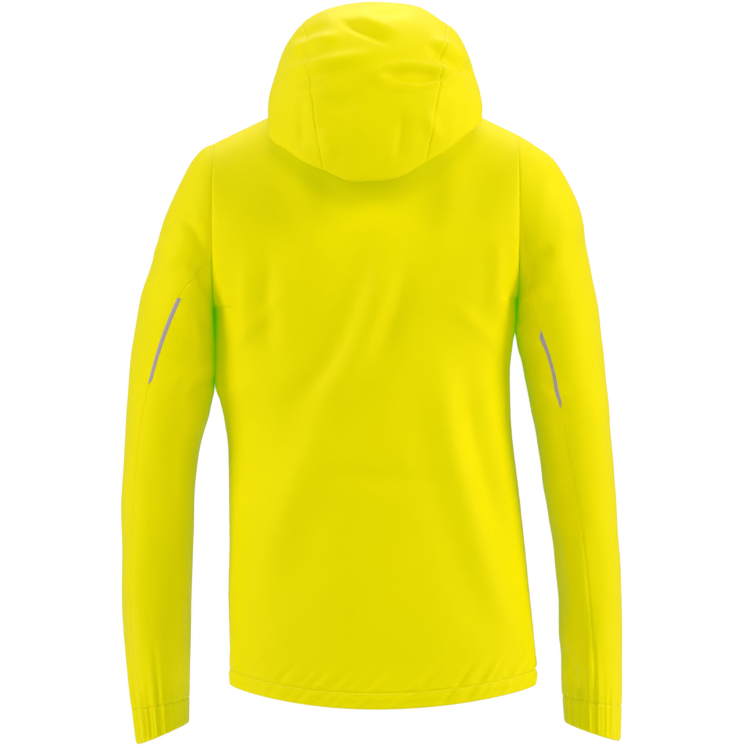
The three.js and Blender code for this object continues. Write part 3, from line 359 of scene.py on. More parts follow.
def makeMesh(name, points, quads, finishes, faceFinish=None, uv=None):
    # points in the cut's millimetres become a mesh in the frame's metres
    mesh = bpy.data.meshes.new(name)
    points = (np.asarray(points).reshape(-1, 3) + origin) / 1000
    quads = np.asarray(quads, np.int32)
    mesh.vertices.add(len(points))
    mesh.vertices.foreach_set("co", points.astype(np.float32).ravel())
    mesh.loops.add(quads.size)
    mesh.loops.foreach_set("vertex_index", quads.ravel())
    mesh.polygons.add(len(quads))
    mesh.polygons.foreach_set("loop_start", np.arange(0, quads.size, quads.shape[1], dtype=np.int32))
    mesh.update(calc_edges=True)
    mesh.polygons.foreach_set("use_smooth", np.ones(len(quads), bool))
    for finish in finishes:
        mesh.materials.append(finish)
    if faceFinish is not None:
        mesh.polygons.foreach_set("material_index", np.asarray(faceFinish, np.int32))
    if uv is not None:
        layer = mesh.uv_layers.new(name="cloth")
        layer.data.foreach_set("uv", np.asarray(uv, np.float32)[quads.ravel()].ravel())
    mesh.update()
    piece = bpy.data.objects.new(name, mesh)
    bpy.context.collection.objects.link(piece)
    return piece


def volumeOf(points, quads):
    # six times the signed volume, by the divergence theorem
    a, b, c, d = (np.asarray(points).reshape(-1, 3)[quads[:, k]] for k in range(4))
    return np.sum(np.cross(a, b) * c) + np.sum(np.cross(a, c) * d)


def outward(points, quads):
    # the same faces, turned about if they enclose a negative volume
    return quads if volumeOf(points, quads) > 0 else quads[:, ::-1]


def sheetPiece(name, points, normals, thick, finishes, wraps=False, missing=None):
    # A closed sheet: the outer skin, the same skin one thickness further in, and walls round its edges.
    # missing marks the cells of the grid that are cut away.
    nu, nv = points.shape[:2]
    outer = points.reshape(-1, 3)
    inner = (points - normals * thick).reshape(-1, 3)
    count = nu * nv
    quads = gridQuads(nu, nv, wraps)
    kept = np.ones(len(quads), bool) if missing is None else ~missing.ravel()
    quads = quads[kept]
    # an edge used once by the kept cells is a border, and gets a wall
    edges = np.stack([quads, np.roll(quads, -1, axis=1)], -1).reshape(-1, 2)
    low, high = edges.min(1), edges.max(1)
    key = low.astype(np.int64) * count + high
    _, first, times = np.unique(key, return_index=True, return_counts=True)
    border = edges[first[times == 1]]
    walls = np.stack([border[:, 1], border[:, 0], border[:, 0] + count, border[:, 1] + count], -1)
    allQuads = np.concatenate([quads, quads[:, ::-1] + count, walls])
    allPoints = np.concatenate([outer, inner])
    face = np.concatenate([np.zeros(len(quads)), np.ones(len(quads)), np.zeros(len(walls))])
    uv = np.stack([arcs(points, 0), arcs(points, 1)], -1).reshape(-1, 2) / 1000
    if volumeOf(allPoints, allQuads) < 0:
        allQuads = allQuads[:, ::-1]
    piece = makeMesh(name, allPoints, allQuads, finishes, face, np.concatenate([uv, uv]))
    area = quadArea(outer, quads)
    wide, long = arcs(points, 0)[-1].max() / 1000, arcs(points, 1)[:, -1].max() / 1000
    return piece, (wide, long), area


def quadArea(points, quads):
    # half the cross product of the diagonals, in square metres
    a, b, c, d = (points[quads[:, k]] for k in range(4))
    return float(np.linalg.norm(np.cross(c - a, d - b), axis=-1).sum() / 2e6)


def shellPiece(name, points, normals, thick, finishes, nodes, slot, body, blend=None, **more):
    # A cloth panel that stands for CAD nodes, which it hides, and moves with a body, or is baked where it
    # stands where a blend is given.
    # The width of a narrower or wider rectangle of the same area is worked out from the share the cut fills,
    # and not used. A cut that fills less or more of its rectangle than a sheet may is given as a narrower or
    # wider one of the same area.
    piece, flat, area = sheetPiece(name, points, normals, thick, finishes, **more)
    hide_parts(*nodes)
    share = area / (flat[0] * flat[1])
    wide = flat[0] if share <= 1 else flat[0] * share * 1.01
    wide = wide if share >= 0.31 else wide * share / 0.31
    ridePiece(piece, body, blend)
    return piece


def ridePiece(piece, body, blend):
    # where a blend is given the piece is baked where it stands, and otherwise it moves with one body
    if blend:
        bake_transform(piece)
    else:
        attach(piece, body)


def tubePoints(path, radius, sides):
    # rings round a path; each ring's plane is turned along with the path from a fixed up direction
    path = np.asarray(path, float)
    along = np.gradient(path, axis=0)
    along /= np.linalg.norm(along, axis=1, keepdims=True)
    guide = np.where(np.abs(along[:, 2:]) > 0.9, np.array([[1.0, 0, 0]]), np.array([[0, 0, 1.0]]))
    out = np.cross(guide, along)
    out /= np.linalg.norm(out, axis=1, keepdims=True)
    rise = np.cross(along, out)
    angle = 2 * np.pi * np.arange(sides) / sides
    ring = out[:, None] * np.cos(angle)[None, :, None] + rise[:, None] * np.sin(angle)[None, :, None]
    return path[:, None] + ring * radius


def ringPiece(name, rings, finishes, closed=False):
    # rings of equal length joined in order, closed on themselves or capped with a fan of thin quads
    rings = np.asarray(rings, float)
    if not closed:
        first = np.repeat(rings[:1].mean(1, keepdims=True), rings.shape[1], 1)
        last = np.repeat(rings[-1:].mean(1, keepdims=True), rings.shape[1], 1)
        rings = np.concatenate([first, rings, last])
    n, m = rings.shape[:2]
    i = np.arange(n if closed else n - 1)[:, None]
    j = np.arange(m)[None, :]
    a, b = (i + 1) % n, (j + 1) % m
    quads = np.stack([i * m + j, a * m + j, a * m + b, i * m + b], -1).reshape(-1, 4)
    lengths = np.concatenate([[0], np.cumsum(np.linalg.norm(np.diff(rings.mean(1), axis=0), axis=1))])
    v = np.repeat(lengths[:, None], m, 1) / 1000
    u = np.repeat(np.arange(m)[None, :] / m, n, 0)
    return makeMesh(name, rings, outward(rings, quads), finishes, uv=np.stack([u, v], -1).reshape(-1, 2))


def scattered(shape, quads, places, axisU, axisV, axisN):
    # one small shape at many places, each with its own three directions
    points = (places[:, None] + shape[None, :, :1] * axisU[:, None] + shape[None, :, 1:2] * axisV[:, None]
              + shape[None, :, 2:] * axisN[:, None])
    index = quads[None] + (np.arange(len(places)) * len(shape))[:, None, None]
    return points.reshape(-1, 3), index.reshape(-1, 4)


def stitchShape(long, wide, high, rings=4, sides=6):
    # a slim grain: an ellipse whose size follows sin(angle)^0.6 along its length
    angle = np.linspace(0.12, np.pi - 0.12, rings)
    size = np.sin(angle) ** 0.6
    turn = 2 * np.pi * np.arange(sides) / sides
    x = np.repeat((-np.cos(angle) * long / 2)[:, None], sides, 1)
    y = size[:, None] * np.cos(turn) * wide / 2
    z = size[:, None] * np.sin(turn) * high / 2
    points = np.stack([x, y, z], -1).reshape(-1, 3)
    i = np.arange(rings - 1)[:, None]
    j = np.arange(sides)[None]
    b = (j + 1) % sides
    this, following = i * sides, (i + 1) * sides
    quads = np.stack([this + j, this + b, following + b, following + j], -1).reshape(-1, 4)
    cap = np.array([[0, 5, 4, 3], [0, 3, 2, 1]])
    return points, np.concatenate([quads, cap, (cap + (rings - 1) * sides)[:, ::-1]])


def resampled(path, step):
    # even steps along a polyline
    path = np.asarray(path, float)
    length = np.concatenate([[0], np.cumsum(np.linalg.norm(np.diff(path, axis=0), axis=1))])
    places = np.arange(step / 2, length[-1], step)
    return np.stack([np.interp(places, length, path[:, k]) for k in range(path.shape[1])], -1)


stitch = {"wide": 0.55, "high": 0.5}


def stitchRow(name, path, normals, body, pitch=3.0, long=2.3, sink=0.15):
    # a row of stitches along a path that lies on the cloth, each a grain in the path's direction
    both = resampled(np.concatenate([path, normals], 1), pitch)
    places, normal = both[:, :3], both[:, 3:]
    normal /= np.linalg.norm(normal, axis=1, keepdims=True)
    along = np.gradient(places, axis=0)
    along /= np.linalg.norm(along, axis=1, keepdims=True)
    side = np.cross(normal, along)
    shape, quads = stitchShape(long, stitch["wide"], stitch["high"])
    middle = places - normal * sink + normal * stitch["high"] / 2
    points, index = scattered(shape, quads, middle, along, side, normal)
    piece = makeMesh(name, points, outward(points, index), [finishes["thread"]])
    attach(piece, body)


# Finishes.

finishes = {}


def newFinish(name, colour, rough, metal=0.0, coat=0.0, sheen=0.0, paintedGlow=None):
    # a given emission is a painted glow: a faint light of the cloth's own that turns its shaded parts
    # greener, standing in for the fluorescent colour
    finish = bpy.data.materials.new(name)
    finish.use_nodes = True
    shader = finish.node_tree.nodes["Principled BSDF"]
    shader.inputs["Base Color"].default_value = (*colour, 1)
    shader.inputs["Roughness"].default_value = rough
    shader.inputs["Metallic"].default_value = metal
    shader.inputs["Coat Weight"].default_value = coat
    shader.inputs["Sheen Weight"].default_value = sheen
    if paintedGlow:
        shader.inputs["Emission Color"].default_value = (*paintedGlow, 1)
        shader.inputs["Emission Strength"].default_value = 1.0
    finishes[name] = finish
    return finish.node_tree, shader


def addNode(tree, kind, **values):
    # each value is set on the input of that name, or else on the node itself
    node = tree.nodes.new(kind)
    for key, value in values.items():
        if key in node.inputs:
            node.inputs[key].default_value = value
        else:
            setattr(node, key, value)
    return node


def tinted(tree, shader, colours, scale):
    # cloudy variation between two close colours
    place = addNode(tree, "ShaderNodeTexCoord")
    cloud = addNode(tree, "ShaderNodeTexNoise", Scale=scale, Detail=3.0, Roughness=0.55)
    ramp = addNode(tree, "ShaderNodeValToRGB")
    ramp.color_ramp.elements[0].position = 0.3
    ramp.color_ramp.elements[1].position = 0.7
    for element, colour in zip(ramp.color_ramp.elements, colours):
        element.color = (*colour, 1)
    tree.links.new(place.outputs["Object"], cloud.inputs["Vector"])
    tree.links.new(cloud.outputs["Fac"], ramp.inputs["Fac"])
    tree.links.new(ramp.outputs["Color"], shader.inputs["Base Color"])


def bumped(tree, shader, layers):
    # a chain of bumps: each layer is (height output, strength, distance in metres)
    last = None
    for height, strength, distance in layers:
        bump = addNode(tree, "ShaderNodeBump", Strength=strength, Distance=distance)
        tree.links.new(height, bump.inputs["Height"])
        if last:
            tree.links.new(last.outputs["Normal"], bump.inputs["Normal"])
        last = bump
    tree.links.new(last.outputs["Normal"], shader.inputs["Normal"])


def noiseHeight(tree, scale, detail=3.0):
    # the height of an even, cloudy roughness
    place = addNode(tree, "ShaderNodeTexCoord")
    noise = addNode(tree, "ShaderNodeTexNoise", Scale=scale, Detail=detail, Roughness=0.55)
    tree.links.new(place.outputs["Object"], noise.inputs["Vector"])
    return noise.outputs["Fac"]


def weaveHeight(tree, pitch, turned=0.0):
    # two crossed wave patterns on the cloth's own map; a wave repeats every 2 pi / (20 * scale)
    place = addNode(tree, "ShaderNodeTexCoord")
    turn = addNode(tree, "ShaderNodeMapping")
    turn.inputs["Rotation"].default_value = (0, 0, turned)
    tree.links.new(place.outputs["UV"], turn.inputs["Vector"])
    scale = 2 * math.pi / (20 * pitch / 1000)
    waves = []
    for direction in ("X", "Y"):
        wave = addNode(tree, "ShaderNodeTexWave", bands_direction=direction, Scale=scale, Distortion=0.4)
        tree.links.new(turn.outputs["Vector"], wave.inputs["Vector"])
        waves.append(wave)
    product = addNode(tree, "ShaderNodeMath", operation="MULTIPLY")
    tree.links.new(waves[0].outputs["Fac"], product.inputs[0])
    tree.links.new(waves[1].outputs["Fac"], product.inputs[1])
    return product.outputs["Value"]


# the shell's constant green emission is a painted glow, which makes the cloth greener where it lies in shade
shellLook = {
    "light": (0.90, 0.63, 0.0), "dark": (0.86, 0.60, 0.0), "paintedGlow": (0.0, 0.15, 0.0),
    "rough": 0.55, "gloss": 0.3, "glossTint": (1.0, 0.86, 0.0), "weavePitch": 0.55,
}


def makeFinishes():
    # the shell cloth gets its painted green glow here
    tree, shader = newFinish("shellCloth", shellLook["light"], shellLook["rough"], paintedGlow=shellLook["paintedGlow"])
    shader.inputs["Specular IOR Level"].default_value = shellLook["gloss"]
    shader.inputs["Specular Tint"].default_value = (*shellLook["glossTint"], 1)
    tinted(tree, shader, (shellLook["dark"], shellLook["light"]), 9)
    bumped(tree, shader, [(weaveHeight(tree, shellLook["weavePitch"]), 0.25, 0.00008),
                          (noiseHeight(tree, 70, 4), 0.22, 0.0012)])

    tree, shader = newFinish("liningCloth", (0.30, 0.32, 0.34), 0.85, sheen=0.2)
    tinted(tree, shader, ((0.27, 0.29, 0.31), (0.33, 0.35, 0.37)), 220)
    bumped(tree, shader, [(weaveHeight(tree, 1.1, 0.785), 0.5, 0.0002), (noiseHeight(tree, 60), 0.25, 0.001)])

    # painted glow: the thread gives off a faint green light of its own, for the fluorescent look
    tree, shader = newFinish("thread", (0.84, 0.72, 0.02), 0.7, paintedGlow=(0.05, 0.1, 0.0))
    bumped(tree, shader, [(noiseHeight(tree, 2200, 2), 0.4, 0.0001)])

    # painted glow: the zip tape gives off a faint green light of its own, for the fluorescent look
    tree, shader = newFinish("zipTape", (0.74, 0.62, 0.0), 0.45, paintedGlow=(0.05, 0.12, 0.0))
    tinted(tree, shader, ((0.70, 0.58, 0.0), (0.77, 0.64, 0.0)), 400)
    bumped(tree, shader, [(weaveHeight(tree, 0.9), 0.6, 0.00015)])

    tree, shader = newFinish("zipCoil", (0.60, 0.56, 0.02), 0.32, coat=0.2)
    bumped(tree, shader, [(noiseHeight(tree, 900), 0.2, 0.00005)])

    tree, shader = newFinish("sliderMetal", (0.50, 0.51, 0.53), 0.34, metal=0.9)
    tinted(tree, shader, ((0.44, 0.45, 0.47), (0.56, 0.57, 0.59)), 350)
    bumped(tree, shader, [(noiseHeight(tree, 1500, 2), 0.15, 0.00006)])

    # painted glow: the puller gives off a faint green light of its own, for the fluorescent look
    tree, shader = newFinish("pullerPlastic", (0.72, 0.66, 0.0), 0.5, paintedGlow=(0.04, 0.1, 0.0))
    bumped(tree, shader, [(noiseHeight(tree, 1800, 2), 0.25, 0.00008)])

    tree, shader = newFinish("elasticYarn", (0.74, 0.74, 0.66), 0.9, sheen=0.3)
    tinted(tree, shader, ((0.66, 0.66, 0.58), (0.8, 0.8, 0.72)), 900)
    bumped(tree, shader, [(noiseHeight(tree, 1600, 2), 0.5, 0.0002)])

    tree, shader = newFinish("lockPlastic", (0.035, 0.037, 0.04), 0.42)
    bumped(tree, shader, [(noiseHeight(tree, 2400, 2), 0.3, 0.00006)])

    tree, shader = newFinish("springSteel", (0.62, 0.63, 0.65), 0.22, metal=1.0)
    bumped(tree, shader, [(noiseHeight(tree, 3000, 1), 0.1, 0.00003)])

    tree, shader = newFinish("reflectiveTape", (0.42, 0.36, 0.39), 0.35, coat=0.1)
    tinted(tree, shader, ((0.36, 0.30, 0.33), (0.46, 0.39, 0.42)), 700)
    bumped(tree, shader, [(weaveHeight(tree, 0.7, 0.785), 0.5, 0.0001)])


makeFinishes()
shellFinishes = [finishes["shellCloth"], finishes["liningCloth"]]
print("finishes made:", len(finishes))


# Camera, light and floor.

studio = {
    "distance": 5.0, "height": 0.440, "across": -0.003, "frameWidth": 0.885, "sensor": 36.0,
    "floorZ": -0.45, "floorRadius": 4.3,
    "worldLight": 0.25,
    # place, size and power of each soft lamp, which looks at the jacket's middle
    "lamps": [((-3.2, 1.0, 2.3), 1.4, 88), ((3.2, 1.1, 2.0), 1.4, 68), ((-0.4, 4.0, 3.0), 1.8, 36),
              ((0.0, -1.6, 3.4), 2.4, 55)],
}


def makeStudio():
    # the camera faces the back from far off, the world is white and lights softly, and the lamps add shape
    scene = bpy.context.scene
    scene.view_settings.view_transform = "Standard"
    lens = bpy.data.cameras.new("camera")
    lens.sensor_width = studio["sensor"]
    lens.lens = studio["sensor"] * studio["distance"] / studio["frameWidth"]
    lens.clip_end = 60
    camera = bpy.data.objects.new("camera", lens)
    camera.location = (studio["across"], studio["distance"], studio["height"])
    camera.rotation_euler = (math.pi / 2, 0, math.pi)
    bpy.context.collection.objects.link(camera)
    scene.camera = camera

    world = bpy.data.worlds.new("studio")
    world.use_nodes = True
    tree = world.node_tree
    tree.nodes.clear()
    seen = addNode(tree, "ShaderNodeBackground", Color=(1, 1, 1, 1), Strength=1.0)
    light = addNode(tree, "ShaderNodeBackground", Color=(1, 1, 1, 1), Strength=studio["worldLight"])
    path = addNode(tree, "ShaderNodeLightPath")
    mix = addNode(tree, "ShaderNodeMixShader")
    out = addNode(tree, "ShaderNodeOutputWorld")
    tree.links.new(path.outputs["Is Camera Ray"], mix.inputs[0])
    tree.links.new(light.outputs[0], mix.inputs[1])
    tree.links.new(seen.outputs[0], mix.inputs[2])
    tree.links.new(mix.outputs[0], out.inputs[0])
    scene.world = world

    middle = np.array([0, 0, 0.46])
    for number, (place, size, power) in enumerate(studio["lamps"]):
        lamp = bpy.data.lights.new(f"lamp{number}", "AREA")
        lamp.size, lamp.energy = size, power
        holder = bpy.data.objects.new(f"lamp{number}", lamp)
        aim = middle - np.array(place)
        flat = math.hypot(aim[0], aim[1])
        holder.location = place
        tilt = math.pi / 2 + math.atan2(aim[2], flat)
        holder.rotation_euler = (tilt, 0, math.atan2(aim[1], aim[0]) - math.pi / 2)
        bpy.context.collection.objects.link(holder)

    mesh = bpy.data.meshes.new("floor")
    turn = np.linspace(0, 2 * np.pi, 97)[:-1]
    rim = np.stack([np.cos(turn), np.sin(turn), np.zeros(96)], -1) * studio["floorRadius"]
    rim[:, 2] = studio["floorZ"]
    mesh.from_pydata(rim.tolist(), [], [list(range(96))])
    floor = bpy.data.objects.new("floor", mesh)
    bpy.context.collection.objects.link(floor)
    tree, shader = newFinish("floorPaint", (0.86, 0.86, 0.85), 0.7)
    tinted(tree, shader, ((0.85, 0.85, 0.84), (0.87, 0.87, 0.86)), 2)
    mesh.materials.append(finishes["floorPaint"])


makeStudio()
print("studio ready")


# Folds of the cloth, all in millimetres.

def softWaves(a, b, seed, count, lengths, height):
    # a sum of sines of random direction, length and phase over the two distances a and b, bent by a slow sine
    rng = np.random.default_rng(seed)
    total = 0
    for _ in range(count):
        turn, phase, bend = rng.uniform(0, np.pi), rng.uniform(0, 2 * np.pi), rng.uniform(0, 2 * np.pi)
        length = rng.uniform(*lengths)
        run = a * np.cos(turn) + b * np.sin(turn)
        cross = -a * np.sin(turn) + b * np.cos(turn)
        total = total + np.sin(2 * np.pi * run / length + phase + 0.9 * np.sin(cross / length * 2.2 + bend))
    return total * height / math.sqrt(count)


foldStrength = {"lines": 2.1, "runs": 2.0}


def lineFolds(x, z, folds):
    # each fold is a bell across a straight line that tapers to nothing at both ends
    total = np.zeros_like(x)
    for (x0, z0), (x1, z1), width, height in folds:
        dx, dz = x1 - x0, z1 - z0
        length = math.hypot(dx, dz)
        along = ((x - x0) * dx + (z - z0) * dz) / length**2
        off = ((x - x0) * dz - (z - z0) * dx) / length
        taper = eased(-0.2, 0.3, along) * eased(1.2, 0.7, along)
        total += height * np.exp(-((off / width) ** 2)) * taper
    return total * foldStrength["lines"]


def runFolds(x, z, folds):
    # long folds that wander: x of the fold's middle is a curve over z
    total = np.zeros_like(x)
    for pairs, width, height in folds:
        low, high = pairs[0][0], pairs[-1][0]
        reach = (high - low) * 0.3
        taper = eased(low - 0.3 * reach, low + reach, z) * eased(high + 0.3 * reach, high - reach, z)
        lean = np.gradient(through(pairs, np.array([(low + high) / 2 - 5, (low + high) / 2 + 5])), 10)[0]
        off = (x - through(pairs, z)) / math.sqrt(1 + lean**2)
        ridge = np.exp(-((off / width) ** 2))
        dips = 0.35 * np.exp(-(((np.abs(off) - 2 * width) / width) ** 2))
        total += height * taper * (ridge - dips)
    return total * foldStrength["runs"]


def seamRoll(distance, depth=0.8, width=2.4):
    # the cloth turns in towards a seam
    return -depth * (1 - eased(0, width, distance))


gathers = {"lengths": (9.5, 14.0, 23.0), "reach": 14, "wander": 41}


def seamPucker(distance, run, seed, height):
    # small uneven gathers beside a seam: a mean of three sines along it, whose phase wanders
    rng = np.random.default_rng(seed)
    total = 0
    for length in gathers["lengths"]:
        phase = rng.uniform(0, 6.28)
        wander = 1.3 * np.sin(run / gathers["wander"] + rng.uniform(0, 6.28))
        total = total + np.sin(2 * np.pi * run / length + phase + wander)
    fade = 1 - eased(gathers["reach"] * 0.15, gathers["reach"], distance)
    return height * total / 3 * fade * eased(0, 1.5, distance)


def hemEdgeZ(face, share):
    # the lower edge's height: a parabola from the middle of the back or front to the side
    middle = hemBackZ + cut["backHemLift"] if face > 0 else hemFrontZ
    return middle * (1 - share**2) + hemSideZ * share**2


torsoFolds = {
    "backRuns": [
        ([[167, 147], [219, 125], [352, 74], [455, 29], [529, 0], [639, -30]], 19, 2.6),
        ([[116, -170], [182, -140], [293, -103], [381, -81], [470, -74]], 16, 2.4),
        ([[197, -170], [270, -147], [366, -118], [455, -107]], 12, -2.2),
        ([[395, 100], [470, 44], [600, 5]], 15, -1.8),
        ([[455, 122], [600, 126]], 11, -1.6),
        ([[470, 152], [570, 150]], 10, 1.2),
        ([[285, 150], [420, 146]], 20, -1.6),
        ([[450, -2], [570, -40]], 13, -1.5),
        ([[500, -142], [600, -146]], 10, 1.4),
        ([[560, 60], [690, 88]], 16, 1.0),
        ([[560, -70], [690, -96]], 16, 1.0),
        ([[90, 40], [300, 20]], 26, 1.0),
    ],
    "backLines": [
        ((60, 322), (-70, 318), 12, -0.8),
        ((-150, 470), (-90, 520), 9, 1.0),
        ((165, 470), (110, 530), 9, 1.0),
    ],
    "frontRuns": [
        ([[170, 120], [330, 92], [520, 70]], 18, 2.0),
        ([[150, -125], [330, -100], [520, -72]], 18, 2.0),
        ([[220, 60], [430, 46]], 14, -1.5),
        ([[240, -58], [450, -44]], 14, -1.5),
        ([[470, 130], [600, 110]], 12, 1.6),
        ([[470, -120], [600, -100]], 12, 1.6),
    ],
    "waves": 0.55, "waveLengths": (70, 190),
    "pucker": 1.7, "puckerReach": 36, "quarterGirth": 157,
}


def hemPucker(around, above, side):
    # slanting gathers over the hem's seam: uneven sines along the hem, strongest just above it
    run = around + 0.55 * above
    wave = (np.sin(2 * np.pi * run / 13 + 1.8 * np.sin(run / 37))
            + 0.8 * np.sin(2 * np.pi * run / 21 + 2.1 * np.sin(run / 59 + 1))
            + 0.5 * np.sin(2 * np.pi * run / 8.3 + 1.1 * np.sin(run / 23)))
    strength = 0.45 + 0.35 * np.sin(run / 31 + 0.7) * np.sin(run / 53) + 0.25 * eased(20, -120, side)
    upper = eased(0, 5, above) * (1 - eased(6, torsoFolds["puckerReach"], above)) * eased(-1, 0, above)
    lower = 0.75 * eased(0, -5, above) * eased(-cut["hemBand"], -12, above)
    return torsoFolds["pucker"] * wave / 1.6 * strength * (upper + lower)


def torsoHeight(face, turn, up, points):
    # every fold of the body's skin, in one function, so that panels which meet carry the same shape
    x, z = points[..., 0], points[..., 2]
    share = np.abs(np.sin(np.pi / 2 * turn))
    flat = cut["flatHalf"]
    around = torsoFolds["quarterGirth"] * (turn if face > 0 else np.sign(turn) * 2 - turn)
    upper = eased(0.97, 1.08, up)
    still = 1 - eased(0.8, 0.985, share) * upper
    neck = 1 - eased(1.8, 1.97, up)
    inner = 1 - eased(0.9, 1.0, share)
    if face > 0:
        height = (runFolds(x, z, torsoFolds["backRuns"]) + lineFolds(x, z, torsoFolds["backLines"])) * inner
    else:
        height = runFolds(x, z, torsoFolds["frontRuns"]) * inner * eased(flat, 45, np.abs(x))
    waves = softWaves(around, z, 7, 9, torsoFolds["waveLengths"], torsoFolds["waves"])
    if face < 0:
        waves = waves * eased(flat, 40, np.abs(x))
    above = z - hemEdgeZ(face, share) - cut["hemBand"]
    pucker = hemPucker(around, above, x) * (eased(flat, 30, np.abs(x)) if face < 0 else 1)
    return (height + waves) * still * neck * eased(-cut["hemBand"], 10, above) + pucker


def ringNormal(points, side):
    # straight out from the armhole's ellipse, the same for the body and for the sleeve
    middle = (armholeTop[side] + pitZ[side]) / 2
    out = np.stack([np.zeros(points.shape[:-1]), points[..., 1] / (cut["armholeDepth"] / 2) ** 2,
                    (points[..., 2] - middle) / (cut["armholeHeight"] / 2) ** 2], -1)
    return unit(out)


def unit(v):
    # v / |v|
    return v / (np.linalg.norm(v, axis=-1, keepdims=True) + 1e-9)


def torsoInner(base):
    # points inside the body, from which its skin faces away
    z = np.minimum(base[..., 2], pitZ["left"] + 40)
    return np.stack([base[..., 0] * 0.3, np.zeros(base.shape[:-1]), z], -1)


def torsoGrid(face, turns, ups, lift, atSides):
    # The folded skin and its normals. atSides names the body's side for a first or last column on a seam.
    turn, up = np.meshgrid(turns, ups, indexing="ij")
    base = torsoSkin(face, turn, up, lift)
    inner = torsoInner(base)
    normal = normalsOf(base, inner)
    across = arcs(base, 0)
    roll = 0
    for column, side in atSides.items():
        distance = np.abs(across - across[column])
        seam = normal[column].copy()
        seam[:, 1] = np.where(ups <= 1, 0, seam[:, 1])
        ring = ringNormal(base[column], side)
        edge = np.where((ups > 1)[:, None], ring, unit(seam))
        near = (1 - eased(0, 7, distance))[..., None]
        normal = unit(mixed(normal, edge[None], near))
        pucker = seamPucker(distance, up * 430, 11 + column, 0.25)
        roll = roll + seamRoll(distance) + pucker * eased(1.02, 0.96, up)
    height = torsoHeight(face, turn, up, base) + roll
    return base, normal, height


torsoGridSize = {"columns": 206, "finePart": 0.14, "fineRows": 27, "lowRows": 88, "highRows": 56}


def armholeRows(count):
    # between even heights and even turns of the armhole's ellipse, with closer rows at its lowest point
    s = np.linspace(0, 1, count)
    return np.unique(np.concatenate([[0.012, 0.025], 0.4 * np.arccos(1 - 2 * s) / np.pi + 0.6 * s]))


torsoUps = np.unique(np.concatenate([
    edgeSteps / bodyRun,
    np.linspace(seamSteps[-1] / bodyRun, torsoGridSize["finePart"], torsoGridSize["fineRows"]),
    np.linspace(torsoGridSize["finePart"], 1, torsoGridSize["lowRows"]),
    1 + armholeRows(torsoGridSize["highRows"]),
]))
panelLift = cut["hemBand"]


def hemRollOf(ups):
    # the panel's own turn inwards along the hem's seam
    return seamRoll(ups * bodyRun)[None, :]


def makeBack():
    # one panel from side seam to side seam, with its lower edge on the hem's seam
    turns = 2 * spaced(torsoGridSize["columns"], 480) - 1
    base, normal, height = torsoGrid(1, turns, torsoUps, panelLift, {0: "right", -1: "left"})
    height = height + hemRollOf(torsoUps)
    points = base + normal * height[..., None]
    final = normalsOf(points, points - normal)
    shellPiece("backPanel", points, final, cut["cloth"], shellFinishes, ["back_panel"],
               "shell_cloth", "shell")


makeBack()
print("back panel made")


# Front panels with their pocket slots, and the hem.

def zipTurn():
    # where the front edge beside the zip lies: asin(edge / half width) as a share of a right angle
    return math.asin(cut["zipEdge"] / (cut["chestWidth"] * 0.48)) / (math.pi / 2)


pocket = {"share": 0.7, "low": 91, "length": 160, "slot": 9, "bed": 1.15}


def pocketFrame(side):
    # the middle of the slot and its three directions: across, inwards and up along the zip
    turn = math.asin(pocket["share"]) / (math.pi / 2) * sideSign[side]
    ups = np.linspace(0, 1, 800)
    line = torsoSkin(-1, np.full_like(ups, turn), ups, 0)

    def at(z, shift=0.0):
        up = np.interp(z, line[:, 2], ups)
        return torsoSkin(-1, np.array([turn + shift]), np.array([up]), 0)[0]

    lowZ = hemSideZ + pocket["low"]
    low, high = at(lowZ), at(lowZ + pocket["length"])
    middle = (low + high) / 2
    upAxis = unit(high - low)
    inAxis = unit(np.cross(at(middle[2], 0.01) - at(middle[2], -0.01), upAxis))
    inAxis = inAxis if inAxis[1] > 0 else -inAxis
    return middle, np.cross(inAxis, upAxis), inAxis, upAxis, turn


pocketFrames = {side: pocketFrame(side) for side in sideSign}


def inPocket(side, points):
    # a pocket frame's own coordinates to the cut's
    middle, xAxis, inAxis, upAxis, _ = pocketFrames[side]
    points = np.asarray(points, float)
    return middle + points[..., :1] * xAxis + points[..., 1:2] * inAxis + points[..., 2:] * upAxis


